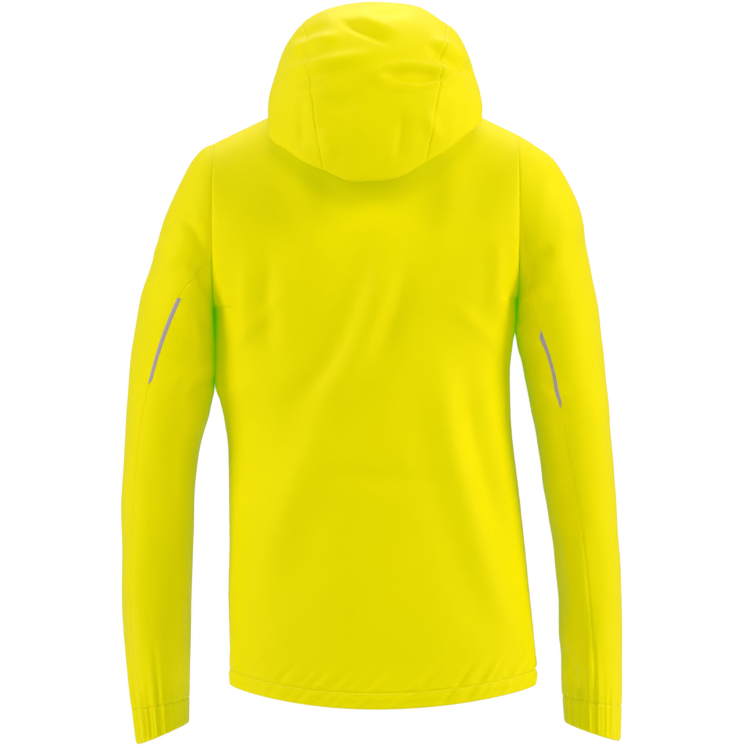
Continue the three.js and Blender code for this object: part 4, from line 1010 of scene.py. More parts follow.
def makeFront(side):
    # a front panel, with the cells of the pocket's slot cut away
    sign = sideSign[side]
    middle, xAxis, inAxis, upAxis, slotTurn = pocketFrames[side]
    probe = torsoSkin(-1, np.array([slotTurn - 0.01, slotTurn + 0.01]), np.array([0.4, 0.4]), panelLift)
    halfTurn = pocket["slot"] / 2 * 0.02 / np.linalg.norm(probe[1] - probe[0])
    slotAt = abs(slotTurn)
    start = zipTurn()
    inside = start + (slotAt - halfTurn - start) * spaced(52, 110)
    outside = slotAt + halfTurn + (1 - slotAt - halfTurn) * spaced(50, 130)
    between = slotAt + halfTurn * np.array([-1 / 3, 1 / 3])
    turns = np.concatenate([inside, between, outside])
    slotColumns = (len(inside) - 1, len(inside) + 2)
    ups = torsoUps
    line = torsoSkin(-1, np.full_like(ups, slotTurn), ups, panelLift)
    ends = np.interp([middle[2] - pocket["length"] / 2, middle[2] + pocket["length"] / 2],
                     line[:200, 2], ups[:200])
    ups = np.unique(np.concatenate([ups[np.abs(ups[:, None] - ends[None]).min(1) > 0.003], ends]))
    slotRows = np.searchsorted(ups, ends)
    turn, up = np.meshgrid(turns * sign, ups, indexing="ij")
    base = torsoSkin(-1, turn, up, panelLift)
    # near the slot the skin is drawn onto the zip's plane, and the slot's edges onto straight lines
    local = np.stack([(base - middle) @ axis for axis in (xAxis, inAxis, upAxis)], -1)
    # flat for further above and below the slot, where the puller swings over
    calm = 1 - eased(8, 36, np.hypot(np.maximum(np.abs(local[..., 0]) - pocket["slot"] / 2, 0),
                                     0.45 * np.maximum(np.abs(local[..., 2]) - pocket["length"] / 2, 0)))
    drift = (local[slotColumns[0], :, 0] + local[slotColumns[1], :, 0])[None] / 2
    base = base - (calm * local[..., 1])[..., None] * inAxis - (calm * drift)[..., None] * xAxis
    inner = torsoInner(base)
    normal = normalsOf(base, inner)
    across = arcs(base, 0)
    distance = across[-1] - across
    seam = normal[-1].copy()
    seam[:, 1] = np.where(ups <= 1, 0, seam[:, 1])
    edge = np.where((ups > 1)[:, None], ringNormal(base[-1], side), unit(seam))
    normal = unit(mixed(normal, edge[None], (1 - eased(0, 7, distance))[..., None]))
    height = torsoHeight(-1, turn, up, base) * (1 - calm) + seamRoll(distance) + hemRollOf(ups)
    # a shallow bed round the slot and in line with it, in which the puller can lie
    bed = np.hypot(np.maximum(np.abs(local[..., 0]) - pocket["slot"] / 2, 0),
                   0.05 * np.maximum(np.abs(local[..., 2]) - pocket["length"] / 2, 0))
    height = height + seamRoll(across, 0.7, 2.0) - pocket["bed"] * (1 - eased(0.3, 2.6, bed))
    points = base + normal * height[..., None]
    missing = np.zeros((len(turns) - 1, len(ups) - 1), bool)
    missing[slotColumns[0]:slotColumns[1], slotRows[0]:slotRows[1]] = True
    final = normalsOf(points, points - normal)
    shellPiece(f"frontPanel_{side}", points, final, cut["cloth"], shellFinishes, [f"front_panel_{side}"],
               "shell_cloth", "shell", missing=missing)


hem = {"depth": 4.8, "round": 1.6, "stations": 420, "cordHeight": 12}


def hemStations(count):
    # round the hem from the left zip edge over the back to the right one, as a face and a turn
    start = zipTurn()
    side = np.linspace(start, 1, count // 4)
    back = np.linspace(1, -1, count // 2)[1:-1]
    face = np.concatenate([-np.ones(len(side)), np.ones(len(back)), -np.ones(len(side))])
    turn = np.concatenate([side, back, -side[::-1]])
    return face, turn


def hemSkin(height, depth, folded=True):
    # The skin beside the hem, at each station: height above the hem's edge, depth inwards, both as arrays.
    face, turn = hemStations(hem["stations"])
    height, depth = np.asarray(height, float), np.asarray(depth, float)
    rows = []
    for f in (-1, 1):
        turns = np.repeat(turn[:, None], len(height), 1)
        up = np.zeros_like(turns)
        lift = np.repeat(height[None], len(turn), 0)
        base = torsoSkin(f, turns, up, lift)
        extra = torsoHeight(f, turns, up, base) if folded else 0
        rows.append((base, extra + np.zeros(turns.shape)))
    back = (face > 0)[:, None]
    base = np.where(back[..., None], rows[1][0], rows[0][0])
    extra = np.where(back, rows[1][1], rows[0][1])
    # outwards and level, from the outline's own direction
    along = np.gradient(base, axis=0)
    out = unit(np.stack([along[..., 1], -along[..., 0], np.zeros(along.shape[:-1])], -1))
    out = out * np.sign(np.sum(out * base * np.array([1, 1, 0]), -1, keepdims=True))
    return base + out * (extra - depth[None])[..., None], out


def makeHem():
    # the channel's outline runs down outside, round the edge and up again inside
    band, deep = cut["hemBand"], hem["depth"]
    turn = np.linspace(0, np.pi, 9)
    outer = np.concatenate([band - np.array([0, 0.6, 1.6, 2.8]), np.linspace(band - 4.5, 3.5, 9)])
    foot = hem["round"] * (1 - np.sin(turn)) * 1.2
    heights = np.concatenate([outer, foot, np.linspace(3.5, band, 8)])
    depths = np.concatenate([[0.8, 0.45, 0.15, 0.02], np.zeros(9), deep / 2 * (1 - np.cos(turn)),
                             np.full(8, deep)])
    bulge = 0.5 * np.exp(-(((heights - hem["cordHeight"]) / 3.2) ** 2)) * (depths < 0.1)
    points, _ = hemSkin(heights, depths - bulge)
    piece = ringPiece("hemChannel", points, [finishes["shellCloth"]])
    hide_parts("hem_channel")
    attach(piece, "shell")
    line, out = hemSkin([band - 2.0], [0.0])
    stitchRow("hemStitches", line[:, 0], out[:, 0], "shell")


for side in sideSign:
    makeFront(side)
makeHem()
print("fronts and hem made")


# Sleeves, their reflective strips and cuffs.

sleeve = {
    "rows": 168, "outerColumns": 58, "underColumns": 50, "waves": 0.6, "waveLengths": (60, 150),
    "radius": 62, "seeds": {"left": 21, "right": 22},
    "folds": {
        "left": [
            ((236, 631), (214, 617), 8, -1.8), ((218, 619), (196, 588), 8, -2.2),
            ((246, 596), (232, 566), 15, 2.6), ((212, 570), (192, 536), 7, -2.4),
            ((222, 520), (204, 470), 10, 1.6), ((186, 438), (222, 408), 7, -2.4),
            ((196, 455), (236, 430), 9, 1.8), ((200, 400), (232, 372), 10, 1.2),
            ((262, 330), (250, 200), 12, -1.0), ((232, 300), (228, 160), 11, 1.2),
            ((280, 560), (292, 440), 12, 1.0), ((284, 250), (276, 120), 11, 1.1),
        ],
        "right": [
            ((-163, 556), (-182, 574), 8, -2.2), ((-182, 574), (-206, 586), 8, -1.7),
            ((-180, 540), (-196, 520), 13, 2.6), ((-172, 500), (-196, 470), 8, 1.6),
            ((-218, 650), (-236, 600), 14, 1.4), ((-212, 262), (-222, 150), 7, -2.2),
            ((-244, 250), (-240, 160), 12, 1.8), ((-190, 412), (-222, 380), 8, -1.8),
            ((-186, 440), (-222, 412), 9, 1.5), ((-262, 420), (-272, 300), 12, 1.1),
            ((-226, 120), (-240, 60), 7, -1.6), ((-252, 110), (-262, 50), 8, 1.3),
        ],
    },
    "cuffPucker": 2.3, "cuffReach": 74,
}
swing = {"direction": (0.819, 0, -0.574), "reach": 62}


def sleeveBlend(side):
    # the shell and the sleeve's own body, with a point at the armpit and one a reach further down the arm
    direction = np.array(swing["direction"]) * (sideSign[side], 1, 1)
    pit = np.array([armholeX[side] * sideSign[side], 0, pitZ[side]]) + origin
    return "shell", f"sleeve_{side}", tuple(pit / 1000), tuple((pit + direction * swing["reach"]) / 1000)


def cuffPucker(side, along, angle):
    # the elastic gathers the cuff into uneven pleats that fade up the sleeve; deeper on the outer half at the
    # left and on the inner half at the right
    turn = np.radians(angle)
    wave = (np.sin(23 * turn + 1.2 * np.sin(2 * turn)) + 0.7 * np.sin(37 * turn + 2 * np.sin(3 * turn + 1))
            + 0.5 * np.sin(14 * turn + 2.2))
    focus = 60 if side == "left" else 140
    strength = 0.35 + 0.75 * np.exp(-(((np.abs((angle - focus + 180) % 360 - 180)) / 48) ** 2))
    above = (cuffShare - along) * cut["sleeveLength"]
    upper = (1 - eased(4, sleeve["cuffReach"] * (0.6 + 0.4 * np.sin(5 * turn)), above)) * eased(-2, 1, above)
    lower = 0.8 * eased(1, -3, above) * eased(-25, -20, above)
    return sleeve["cuffPucker"] * wave / 1.5 * strength * (upper + lower)


def sleeveHeight(side, along, angle, points):
    # every fold of a sleeve: lines at its back, soft waves all round and the cuff's gathers
    x, z = points[..., 0], points[..., 2]
    atBack = eased(-25, 15, points[..., 1] - through(sleeveBend, along))
    folds = lineFolds(x, z, sleeve["folds"][side]) * (0.35 + 0.65 * atBack)
    turn = np.radians(angle)
    waves = softWaves(along * cut["sleeveLength"], sleeve["radius"] * np.sin(turn),
                      sleeve["seeds"][side], 7, sleeve["waveLengths"], sleeve["waves"])
    waves = waves + 0.5 * sleeve["waves"] * np.sin(2 * np.pi * along * 6 + 2 * np.cos(turn))
    still = eased(0.012, 0.075, along) * (1 - 0.6 * eased(0.93, 0.97, along))
    return (folds + waves) * still + cuffPucker(side, along, angle)


def makeSleeve(side):
    # the outer and the under panel are cut from one folded tube along the back and the front seam
    seam = sleeveCut[side]["backSeam"]
    rows = np.unique(np.concatenate([
        edgeSteps[1:] / sleeveRun,
        np.linspace(0, 0.88, sleeve["rows"] - 44),
        np.linspace(0.88, cuffShare, 46),
        cuffShare - edgeSteps / sleeveRun,
    ]))
    outer, under = spaced(sleeve["outerColumns"], 230), spaced(sleeve["underColumns"], 200)
    split = len(outer) - 1
    back = through(seam, rows)[None]
    outerAngle = mixed(frontSeamAngle, back, outer[:, None])
    underAngle = mixed(back, 360 + frontSeamAngle, under[:, None])
    angle = np.concatenate([outerAngle, underAngle[1:-1]])
    along = np.repeat(rows[None], len(angle), 0)
    base = sleeveSkin(side, along, angle)
    middle = np.mean(base, axis=0, keepdims=True)
    normal = normalsOf(base, middle, wraps=True)
    down = arcs(base, 1)
    normal = unit(mixed(normal, ringNormal(base[:, :1], side), (1 - eased(0, 9, down))[..., None]))
    around = arcs(base, 0)
    closing = np.linalg.norm(base[0] - base[-1], axis=-1)[None]
    girth = around[-1:] + closing
    toBack = np.abs(around - around[split])
    toFront = np.minimum(around, girth - around)
    height = sleeveHeight(side, along, angle, base)
    height = height + seamRoll(toBack, 0.7) + seamPucker(toBack, along * sleeveRun, 31, 0.22)
    height = height + seamRoll(toFront, 0.7) + seamPucker(toFront, along * sleeveRun, 32, 0.2)
    height = height + seamRoll(down) + seamRoll((cuffShare - along) * sleeveRun, 0.7, 2.0)
    points = base + normal * height[..., None]
    final = normalsOf(points, middle, wraps=True)
    wrapped = [np.concatenate([grid[split:], grid[:1]]) for grid in (points, final)]
    blend = sleeveBlend(side)
    shellPiece(f"sleeveOuter_{side}", points[:split + 1], final[:split + 1], cut["cloth"], shellFinishes,
               [f"sleeve_outer_{side}"], "shell_cloth", f"sleeve_{side}", blend=blend)
    shellPiece(f"sleeveUnder_{side}", wrapped[0], wrapped[1], cut["cloth"], shellFinishes,
               [f"sleeve_under_{side}"], "shell_cloth", f"sleeve_{side}", blend=blend)
    makeStrip(side)
    makeCuff(side)


def onSleeve(side, along, angle, lift):
    # a place on the folded sleeve, lifted along its normal, for grids of along and angle
    base = sleeveSkin(side, along, angle)
    outer = sleeveSkin(side, along, np.zeros_like(angle))
    inner = sleeveSkin(side, along, np.full_like(angle, 180.0))
    middle = (outer + inner) / 2
    step = 1e-3
    du = sleeveSkin(side, along, angle + 1) - sleeveSkin(side, along, angle - 1)
    dv = sleeveSkin(side, along + step, angle) - sleeveSkin(side, np.maximum(along - step, 0), angle)
    normal = unit(np.cross(du, dv))
    normal = normal * np.sign(np.sum(normal * (base - middle), -1, keepdims=True))
    return base + normal * (sleeveHeight(side, along, angle, base) + lift)[..., None], normal


strip = {"width": 5.2, "proud": 0.35, "point": 9, "radius": 66}


def makeStrip(side):
    # a flat tape over the sleeve's back seam, slanting to a point at both ends
    low, high = sleeveCut[side]["strip"]
    rows = np.linspace(low, high, 90)
    across = np.linspace(-1, 1, 9)
    seam = through(sleeveCut[side]["backSeam"], rows)
    length = (rows - low) * sleeveRun
    total = (high - low) * sleeveRun
    slant = np.clip(np.minimum(length / strip["point"], (total - length) / strip["point"]), 0.03, 1)
    shift = np.where(length < total / 2, 1 - slant, slant - 1) * sideSign[side]
    offset = (across[:, None] * slant[None] + shift[None]) * strip["width"] / 2
    angle = seam[None] + np.degrees(offset / strip["radius"])
    along = np.repeat(rows[None], len(across), 0)
    points, normal = onSleeve(side, along, angle, strip["proud"] * (1 - 0.5 * np.abs(across[:, None]) ** 4))
    piece, _, _ = sheetPiece(f"reflectiveStrip_{side}", points, normal, 0.9, [finishes["reflectiveTape"]] * 2)
    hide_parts(f"reflective_strip_{side}")
    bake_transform(piece)


cuff = {"depth": 4.0, "around": 300, "round": 1.6, "foot": 2.2}


def makeCuff(side):
    # a folded band: the outer wall down from the seam, round the edge and up again inside
    turn = np.linspace(0, np.pi, 9)
    band = cut["cuffBand"]
    heights = np.concatenate([[band, band - 0.6, band - 1.6], np.linspace(band - 3, cuff["foot"], 12),
                              cuff["round"] * (1 - np.sin(turn)), np.linspace(cuff["foot"], band, 9)])
    depths = np.concatenate([[0.7, 0.35, 0.05], np.zeros(12), cuff["depth"] / 2 * (1 - np.cos(turn)),
                             np.full(9, cuff["depth"])])
    angle = np.linspace(0, 360, cuff["around"] + 1)[:-1]
    along = 1 - heights / cut["sleeveLength"]
    grid, turns = np.meshgrid(along, angle)
    points, _ = onSleeve(side, grid, turns, -np.repeat(depths[None], len(angle), 0))
    piece = ringPiece(f"cuff_{side}", points, [finishes["shellCloth"]], closed=True)
    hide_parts(f"cuff_{side}", f"cuff_elastic_{side}")
    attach(piece, f"sleeve_{side}")
    seam = np.full(301, 1 - (band - cuff["foot"]) / cut["sleeveLength"])
    line, out = onSleeve(side, seam, np.linspace(0, 360, 301), np.zeros(301))
    stitchRow(f"cuffStitches_{side}", line, out, f"sleeve_{side}", sink=0.1)


for side in sideSign:
    makeSleeve(side)
print("sleeves made")


# Hood.

hood = {
    "seam": 0.36, "waves": 1.0, "waveLengths": (45, 120),
    "dimple": {"middle": (-44, 785), "half": (33, 9.5), "deep": 6.5, "rim": 2.8},
    "foldStrength": 1.5,
    "folds": [
        ((36, 849), (-14, 825), 4.5, -1.7), ((20, 856), (-24, 838), 7, 1.2),
        ((100, 820), (44, 832), 6, 1.5), ((98, 836), (58, 846), 6, -1.3),
        ((104, 792), (6, 809), 7, 1.5), ((90, 778), (24, 792), 8, -1.2), ((88, 757), (28, 750), 9, -1.0),
        ((-64, 819), (-108, 793), 5, -2.4), ((-70, 830), (-110, 806), 7, 1.5),
        ((-34, 735), (-26, 690), 7, -1.1), ((-60, 740), (-72, 712), 8, 1.0), ((86, 756), (84, 706), 6, -0.9),
        ((60, 720), (48, 692), 8, 0.9), ((0, 860), (-40, 866), 6, -0.8),
    ],
}


def hoodInner(back, base):
    # the hollow side: towards the head above, and above the cloth under the pouch
    middle = np.stack([np.zeros_like(back), through([[0, -60], [3, 20], [5, 70], [8, 90]], back),
                       np.full_like(back, neckSideZ - 10)], -1)
    middle = mixed(middle, base, 0.2)
    middle[..., 2] += np.where(back > 4.5, 30, 0)
    return np.where((back > 5.3)[..., None], base + np.array([0, 0, 30]), middle)


def hoodHeight(back, over, points):
    # the hood's folds, which show between its crown and its lower edge, and soft waves
    x, z = points[..., 0], points[..., 2]
    shown = eased(1.6, 2.8, back) * (1 - eased(5.0, 5.6, back))
    side = eased(0.02, 0.2, 1 - np.abs(over))
    folds = lineFolds(x, z, hood["folds"]) * shown * hood["foldStrength"]
    waves = softWaves(points[..., 1] + z, x * 1.2, 33, 8, hood["waveLengths"], hood["waves"])
    # a lens-shaped dimple: exp(-d^4) inwards, with a rim of exp(-((d - 1.3) / 0.3)^2) outwards
    dimple = hood["dimple"]
    d = np.hypot((x - dimple["middle"][0]) / dimple["half"][0], (z - dimple["middle"][1]) / dimple["half"][1])
    rim = dimple["rim"] * np.exp(-(((d - 1.3) / 0.3) ** 2))
    folds = folds + (rim - dimple["deep"] * np.exp(-(d**4))) * shown
    return (folds + waves) * side * eased(0.05, 0.5, back) * (1 - eased(6.8, 7.8, back))


def makeHood():
    # three panels cut from one folded surface along the two seams over the head
    rows = np.unique(np.concatenate([np.linspace(0.04, 4.2, 84), np.linspace(4.2, 6.2, 52),
                                     np.linspace(6.2, 8, 26)]))
    side = spaced(54, 190)
    centre = spaced(62, 170)
    s = hood["seam"]
    overs = np.concatenate([-1 + (1 - s) * side, -s + 2 * s * centre[1:], s + (1 - s) * side[1:]])
    seams = [len(side) - 1, len(side) + len(centre) - 2]
    over, back = np.meshgrid(overs, rows, indexing="ij")
    base = hoodSkin(back, over)
    normal = unit(np.cross(np.gradient(base, axis=0), np.gradient(base, axis=1)))
    inner = hoodInner(back, base)
    normal = normal * np.sign(np.mean(np.sum(normal * (base - inner), -1)))
    across, down = arcs(base, 0), arcs(base, 1)
    height = hoodHeight(back, over, base)
    for number, column in enumerate(seams):
        distance = np.abs(across - across[column])
        height = height + seamRoll(distance, 0.7) + seamPucker(distance, down, 51 + number, 0.2)
    points = base + normal * height[..., None]
    final = unit(np.cross(np.gradient(points, axis=0), np.gradient(points, axis=1)))
    final = final * np.sign(np.mean(np.sum(final * normal, -1)))
    for name, node, first, last in (("hoodSide_right", "hood_side_right", 0, seams[0]),
                                    ("hoodCentre", "hood_centre_panel", seams[0], seams[1]),
                                    ("hoodSide_left", "hood_side_left", seams[1], len(overs) - 1)):
        shellPiece(name, points[first:last + 1], final[first:last + 1], cut["cloth"], shellFinishes, [node],
                   "shell_cloth", "shell")


makeHood()
print("hood made")


# The hood's binding, the collar and what is sewn inside it.

binding = {"wide": 0.1, "thick": 2.4, "stations": 190}


def makeBinding():
    # an elastic band folded round the edge of the face opening: a flattened ring at each place along it
    overs = np.linspace(-0.985, 0.985, binding["stations"])
    turn = np.linspace(0, 2 * np.pi, 19)[:-1]
    back = binding["wide"] / 2 * (1 - np.sign(np.cos(turn)) * np.abs(np.cos(turn)) ** 0.6)
    depth = cut["cloth"] / 2 + binding["thick"] / 2 * np.sign(np.sin(turn)) * np.abs(np.sin(turn)) ** 0.6
    over = np.repeat(overs[:, None], len(turn), 1)
    step = np.repeat(back[None], len(overs), 0)
    base = hoodSkin(np.maximum(step, 0.002), over)
    du = hoodSkin(step + 0.02, over) - hoodSkin(np.maximum(step, 0.002), over)
    dv = hoodSkin(step + 0.01, over + 0.004) - hoodSkin(step + 0.01, over - 0.004)
    normal = unit(np.cross(du, dv))
    inner = np.array([0, -60, neckSideZ + 20])
    normal = normal * np.sign(np.mean(np.sum(normal * (base - inner), -1)))
    gather = 0.12 * np.sin(np.linspace(0, 1, len(overs)) * 2 * np.pi * 90)[:, None]
    points = base - normal * (depth[None] * (1 + gather))[..., None]
    piece = ringPiece("hoodBinding", points, [finishes["liningCloth"]])
    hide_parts("hood_edge_binding")
    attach(piece, "shell")


collar = {"columns": 150, "rows": 26}


def collarGrid(up0, up1, depth, rounds=None):
    # the collar's skin between two heights, with soft waves that die out towards the zip
    opening = math.asin(15 / (neckHalf - 0.6)) / math.pi
    rounds = np.linspace(-1 + opening, 1 - opening, collar["columns"]) if rounds is None else rounds
    around, up = np.meshgrid(rounds, np.linspace(up0, up1, collar["rows"]), indexing="ij")
    base = collarSkin(around, up, depth)
    normal = normalsOf(base, base * np.array([0.5, 0.5, 1]))
    waves = softWaves(around * 240, up * 50, 61, 6, (30, 80), 0.35) * np.sin(np.pi * np.clip(up, 0, 1)) ** 0.5
    calm = eased(1, 0.9, np.abs(around))
    return base + normal * (waves * calm)[..., None], normal


def makeCollar():
    # the standing collar, its facing, and the chin guard at the left end with its stitches
    points, normal = collarGrid(0, 1, 0)
    lip = seamRoll(arcs(points, 1)[:, -1:] - arcs(points, 1), 0.35, 1.5)
    shellPiece("collarStand", points + normal * lip[..., None], normal, cut["cloth"],
               [finishes["shellCloth"]] * 2, ["collar"], "shell_cloth", "shell")
    points, normal = collarGrid(0.05, 0.95, cut["cloth"] + 0.5)
    shellPiece("collarFacing", points, normal, 0.9, [finishes["liningCloth"]] * 2, ["collar_facing"],
               "lining_cloth", "shell")
    rounds = np.linspace(0.83, 0.9395, 40)
    points, normal = collarGrid(0.55, 0.94, cut["cloth"] + 1.8, rounds)
    shellPiece("chinGuard", points, normal, 0.9, [finishes["liningCloth"]] * 2, ["chin_guard"],
               "lining_cloth", "shell")
    line, out = (np.concatenate([grid[2:-2, 2], grid[-3, 2:-2], grid[2:-2, -3][::-1], grid[2, 2:-2][::-1]])
                 for grid in (points, normal))
    stitchRow("chinGuardStitches", line - out * 1.0, -out, "shell")


loop = {"span": 56, "ribbon": 7, "thick": 1.3}


def makeLoop():
    # a ribbon that stands off the collar in a low arch, its two ends sewn flat
    low, high = (np.array(c) * 1000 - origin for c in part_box("hanger_loop"))
    middleZ, seatY, frontY = (low[2] + high[2]) / 2, high[1], low[1]
    s = np.linspace(-1, 1, 61)
    x = s * loop["span"] / 2
    y = seatY - loop["thick"] / 2 - (seatY - frontY - loop["thick"]) * eased(1.0, 0.62, np.abs(s))
    path = np.stack([x, y, np.full_like(x, middleZ)], -1)
    along = unit(np.gradient(path, axis=0))
    out = np.cross(along, np.array([0, 0, 1.0]))
    turn = np.linspace(0, 2 * np.pi, 17)[:-1]
    wide = np.sign(np.cos(turn)) * np.abs(np.cos(turn)) ** 0.35 * loop["ribbon"] / 2
    thick = np.sign(np.sin(turn)) * np.abs(np.sin(turn)) ** 0.35 * loop["thick"] / 2
    rings = path[:, None] + np.array([0, 0, 1.0]) * wide[None, :, None] + out[:, None] * thick[None, :, None]
    piece = ringPiece("hangerLoop", rings, [finishes["liningCloth"]])
    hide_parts("hanger_loop")
    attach(piece, "shell")
    for side in ("right", "left"):
        # a zigzag over each end: x turns back at every step up
        k = np.arange(11)
        x = sideSign[side] * (loop["span"] / 2 - 3.4) + 1.6 * (k % 2 - 0.5)
        zigzag = np.stack([x, np.full(11, seatY - loop["thick"] - 0.1), middleZ - 3 + k * 0.6], -1)
        stitchRow(f"loopTack_{side}", zigzag, np.tile([0, -1.0, 0], (11, 1)), "shell",
                  pitch=0.8, long=1.1)


makeBinding()
makeCollar()
makeLoop()
print("binding, collar and loop made")


# Zips, the wind flap and the pocket bags.

# In both zips, tape is how far the tape reaches from the middle, and teethFront how far in its teeth lie.
zipLook = {"tooth": 1.45, "toothWide": 1.15, "ripple": 0.12, "thick": 0.8}
mainZip = {"gap": 0.4, "tape": 14, "rows": 300, "teethFront": 4.1, "teethStart": 9, "teethStop": 3}
pocketZip = {"tape": 10, "front": 2.8, "end": 85, "rows": 90, "teethFront": 4.7, "teethEnd": 78}


def inMainZip(points):
    # the main zip's own coordinates to the cut's: y inwards, z up along the leaning line
    points = np.asarray(points, float)
    c, s = math.cos(zipLean), math.sin(zipLean)
    y, z = points[..., 1], points[..., 2]
    return np.stack([points[..., 0], float(zipY(zipTopZ)) + y * c + z * s, zipTopZ - y * s + z * c], -1)


def makeTape(name, node, place, x, y, z, rows):
    # a woven ribbon: it ripples a little along its length, and its long edges are rounded off
    columns = np.array([0, 0.03, 0.08, 0.2, 0.35, 0.5, 0.65, 0.8, 0.92, 0.97, 1])
    grid = np.stack(np.meshgrid(mixed(x[0], x[1], columns), np.linspace(*z, rows), indexing="ij"), -1)
    lift = zipLook["ripple"] * np.sin(grid[..., 1] / 7.3) * np.sin(grid[..., 1] / 31)
    edge = 0.22 * np.abs(2 * columns - 1)[:, None] ** 10
    points = place(np.stack([grid[..., 0], y + lift + edge, grid[..., 1]], -1))
    normal = normalsOf(points, place(np.array([0, 100.0, 0])))
    shellPiece(name, points, normal, zipLook["thick"], [finishes["zipTape"]] * 2, [node], "zip_tape", "shell")


def makeTeeth(name, node, place, sides, y, z):
    # a coil's loops seen as rows of rounded bars, those of the two sides half a step apart
    shape, quads = stitchShape(2.2, zipLook["toothWide"], 1.5, rings=5, sides=8)
    places, index = [], []
    pitch = zipLook["tooth"]
    for side in sides:
        steps = np.arange(z[0] + 0.8 + (0.5 * pitch if side < 0 else 0), z[1] - 0.8, pitch)
        middle = np.stack([np.full_like(steps, 1.3 * side), np.full_like(steps, y), steps], -1)
        points = middle[:, None] + shape[None][..., [0, 2, 1]]
        first = np.arange(len(steps)) * len(shape) + sum(len(p) for p in places)
        index.append(quads[None] + first[:, None, None])
        places.append(points.reshape(-1, 3))
    points = place(np.concatenate(places))
    quads = np.concatenate([i.reshape(-1, 4) for i in index])
    piece = makeMesh(name, points, outward(points, quads), [finishes["zipCoil"]])
    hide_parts(node)
    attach(piece, "shell")


def makeFlap():
    # a strip behind the zip, with one long edge folded forwards to where it is sewn
    across = np.concatenate([np.linspace(-13, 10.5, 16), 11.4 + 0.9 * np.sin(np.linspace(0.2, np.pi / 2, 5)),
                             np.full(5, 12.4)])
    inward = np.concatenate([np.full(16, 8.2), 7.3 + 0.9 * np.cos(np.linspace(0.2, np.pi / 2, 5)),
                             np.linspace(6.5, 3.6, 5)])
    up = np.linspace(-zipLength + 21, -4, 240)
    x, z = np.meshgrid(across, up, indexing="ij")
    ripple = 0.25 * np.sin(z / 23) * np.sin(z / 61 + 1) * eased(12, 6, np.abs(x))
    points = inMainZip(np.stack([x, inward[:, None] + ripple, z], -1))
    normal = unit(np.cross(np.gradient(points, axis=0), np.gradient(points, axis=1)))
    normal = normal * -np.sign(normal[4, 100, 1])
    shellPiece("windFlap", points, normal, 1.0, shellFinishes, ["wind_flap"], "shell_cloth", "shell")


bag = {"turns": (0.17, 0.68), "ups": (0.06, 0.66), "atEdge": 3.2, "belly": 5.4}


def makeBag(side):
    # the pocket's inner cloth follows the front panel from inside and bellies away from it in the middle
    turns, ups = np.linspace(*bag["turns"], 60), np.linspace(*bag["ups"], 90)
    turn, up = np.meshgrid(turns * sideSign[side], ups, indexing="ij")
    base = torsoSkin(-1, turn, up, 0)
    toSide = np.minimum(turns - bag["turns"][0], bag["turns"][1] - turns)[:, None] / 0.1
    toEnd = np.minimum(ups - bag["ups"][0], bag["ups"][1] - ups)[None] / 0.12
    full = eased(0, 1, np.minimum(toSide, toEnd))
    waves = softWaves(base[..., 0], base[..., 2], 71, 6, (30, 80), 0.5)
    belly = bag["atEdge"] + bag["belly"] * full + waves * full
    normal = normalsOf(base, base * np.array([0.3, 0, 1]))
    dent = np.minimum(torsoHeight(-1, turn, up, base), 0)
    points = base + normal * (dent - belly)[..., None]
    shellPiece(f"pocketBag_{side}", points, normal, 0.8, [finishes["liningCloth"]] * 2,
               [f"pocket_bag_{side}"], "lining_cloth", "shell")


def makeFrontStitches(side):
    # a row beside the zip, and one on both sides of the pocket's slot
    ups = np.linspace(0.02, 1.93, 400)
    turn = np.full_like(ups, 1.75 * zipTurn() * sideSign[side])
    line = torsoSkin(-1, turn, ups, panelLift)
    out = np.tile([0, -1.0, 0], (len(ups), 1))
    stitchRow(f"zipStitches_{side}", line, out, "shell", sink=0.1)
    z = np.linspace(-pocket["length"] / 2, pocket["length"] / 2, 60)
    out = np.tile(-pocketFrames[side][2], (len(z), 1))
    for row, x in (("Inner", -pocket["slot"] / 2 - 3), ("Outer", pocket["slot"] / 2 + 3)):
        points = inPocket(side, np.stack([np.full_like(z, x * sideSign[side]), np.zeros(len(z)), z], -1))
        stitchRow(f"pocketStitches{row}_{side}", points, out, "shell", sink=0.1)


for side, sign in sideSign.items():
    def place(points, side=side):
        return inPocket(side, points)

    ends = sorted([mainZip["gap"] * sign, mainZip["tape"] * sign])
    makeTape(f"zipTape_{side}", f"main_zip_tape_{side}", inMainZip, ends, tapeFront,
             (-zipLength, 0), mainZip["rows"])
    makeTeeth(f"zipTeeth_{side}", f"main_zip_coil_{side}", inMainZip, [sign], mainZip["teethFront"],
              (-zipLength + mainZip["teethStart"], -mainZip["teethStop"]))
    makeTape(f"pocketTape_{side}", f"pocket_zip_tape_{side}", place, (-pocketZip["tape"], pocketZip["tape"]),
             pocketZip["front"], (-pocketZip["end"], pocketZip["end"]), pocketZip["rows"])
    makeTeeth(f"pocketTeeth_{side}", f"pocket_zip_coil_{side}", place, [-1, 1], pocketZip["teethFront"],
              (-pocketZip["teethEnd"], pocketZip["teethEnd"]))
    makeBag(side)
    makeFrontStitches(side)
makeFlap()
print("zips, flap and pockets made")


# The drawcord with its locks, and the hard pieces that stay as they are in the frame.

drawcord = {"diameter": 2.2, "depth": 2.4, "barrelBelow": 9.7, "reach": 12.5, "step": 1.4}


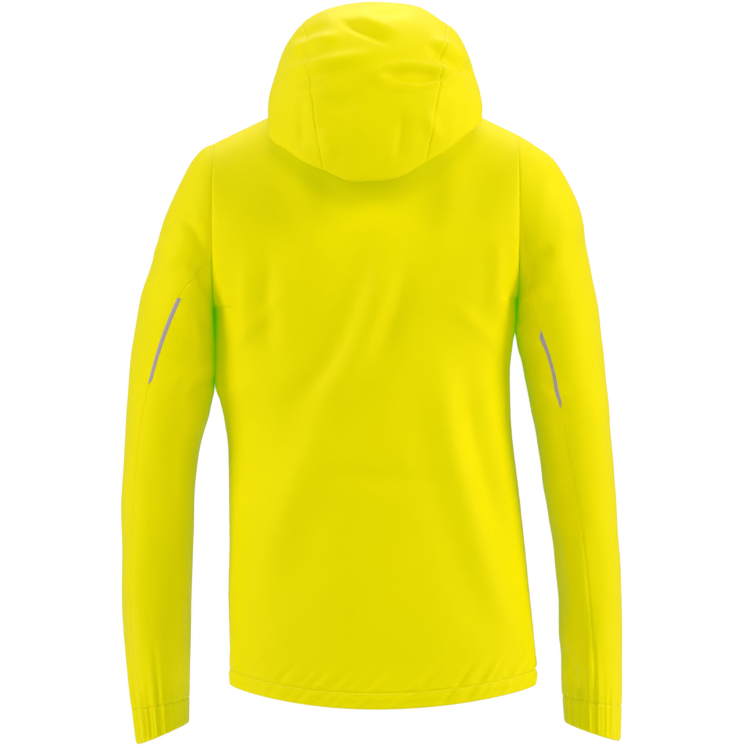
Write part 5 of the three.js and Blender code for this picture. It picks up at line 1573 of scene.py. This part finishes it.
def makeDrawcord():
    # along the channel, and in through the eyelets to the two locks and a little beyond
    line = hemSkin([hem["cordHeight"]], [drawcord["depth"]], folded=False)[0][:, 0]
    half = len(line) // 2
    ends = []
    for side in ("left", "right"):
        low, high = (np.array(c) * 1000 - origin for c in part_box(f"cord_lock_barrel_{side}"))
        centre = np.array([(low[0] + high[0]) / 2, (low[1] + high[1]) / 2, low[2] + drawcord["barrelBelow"]])
        part = np.arange(half) if side == "left" else np.arange(half, len(line))
        near = part[np.argmin(np.hypot(*(line[part] - centre)[:, :2].T))]
        inside = unit((centre - line[near]) * np.array([1, 1, 0]))
        inwards = [line[near] + inside * 1.2, line[near] + inside * 3, centre,
                   centre + inside * drawcord["reach"]]
        ends.append((near, inwards))
    path = ends[0][1][::-1] + list(line[ends[0][0] + 4:ends[1][0] - 3]) + ends[1][1]
    path = resampled(path, drawcord["step"])
    smooth = np.concatenate([path[:1], (path[:-2] + 2 * path[1:-1] + path[2:]) / 4, path[-1:]])
    rings = tubePoints(smooth, drawcord["diameter"] / 2, 10)
    piece = ringPiece("drawcord", rings, [finishes["elasticYarn"]])
    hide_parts("hem_drawcord")
    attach(piece, "shell")


coil = {"turns": 4.25, "wire": 0.3, "radius": 4.2, "keep": 0.36}


def makeSpring(side):
    # a steel coil between the lock's floor and its button: x = r cos(t), y = r sin(t), z rises with t
    low, high = (np.array(c) * 1000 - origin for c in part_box(f"cord_lock_spring_{side}"))
    turn = np.linspace(0, 2 * np.pi * coil["turns"], 260)
    rise = np.clip(mixed(-0.12, 1.12, turn / turn[-1]), 0, 1)
    z = mixed(low[2] + coil["wire"], high[2] - coil["wire"], rise)
    middle = (low + high) / 2
    radius = min(coil["radius"], (high[0] - low[0]) / 2 - coil["wire"])
    path = np.stack([middle[0] + radius * np.cos(turn), middle[1] + radius * np.sin(turn), z], -1)
    piece = ringPiece(f"lockCoil_{side}", tubePoints(path, coil["wire"], 8), [finishes["springSteel"]])
    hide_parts(f"cord_lock_spring_{side}")
    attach(piece, "shell")
    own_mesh(piece)


makeDrawcord()
for side in sideSign:
    makeSpring(side)
kept = {
    "lockPlastic": [f"cord_lock_{part}_{side}" for part in ("barrel", "button") for side in sideSign],
    "sliderMetal": ["main_zip_box", "main_zip_slider", "main_zip_slider_inner"]
    + [f"pocket_zip_{side}_{part}" for part in ("slider", "slider_inner") for side in sideSign],
    "pullerPlastic": ["main_zip_puller", "pocket_zip_left_puller", "pocket_zip_right_puller"],
}
for finishName, nodes in kept.items():
    for node in nodes:
        mesh = bpy.data.objects[node].data
        mesh.materials.clear()
        mesh.materials.append(finishes[finishName])
print("drawcord made, hard pieces finished")
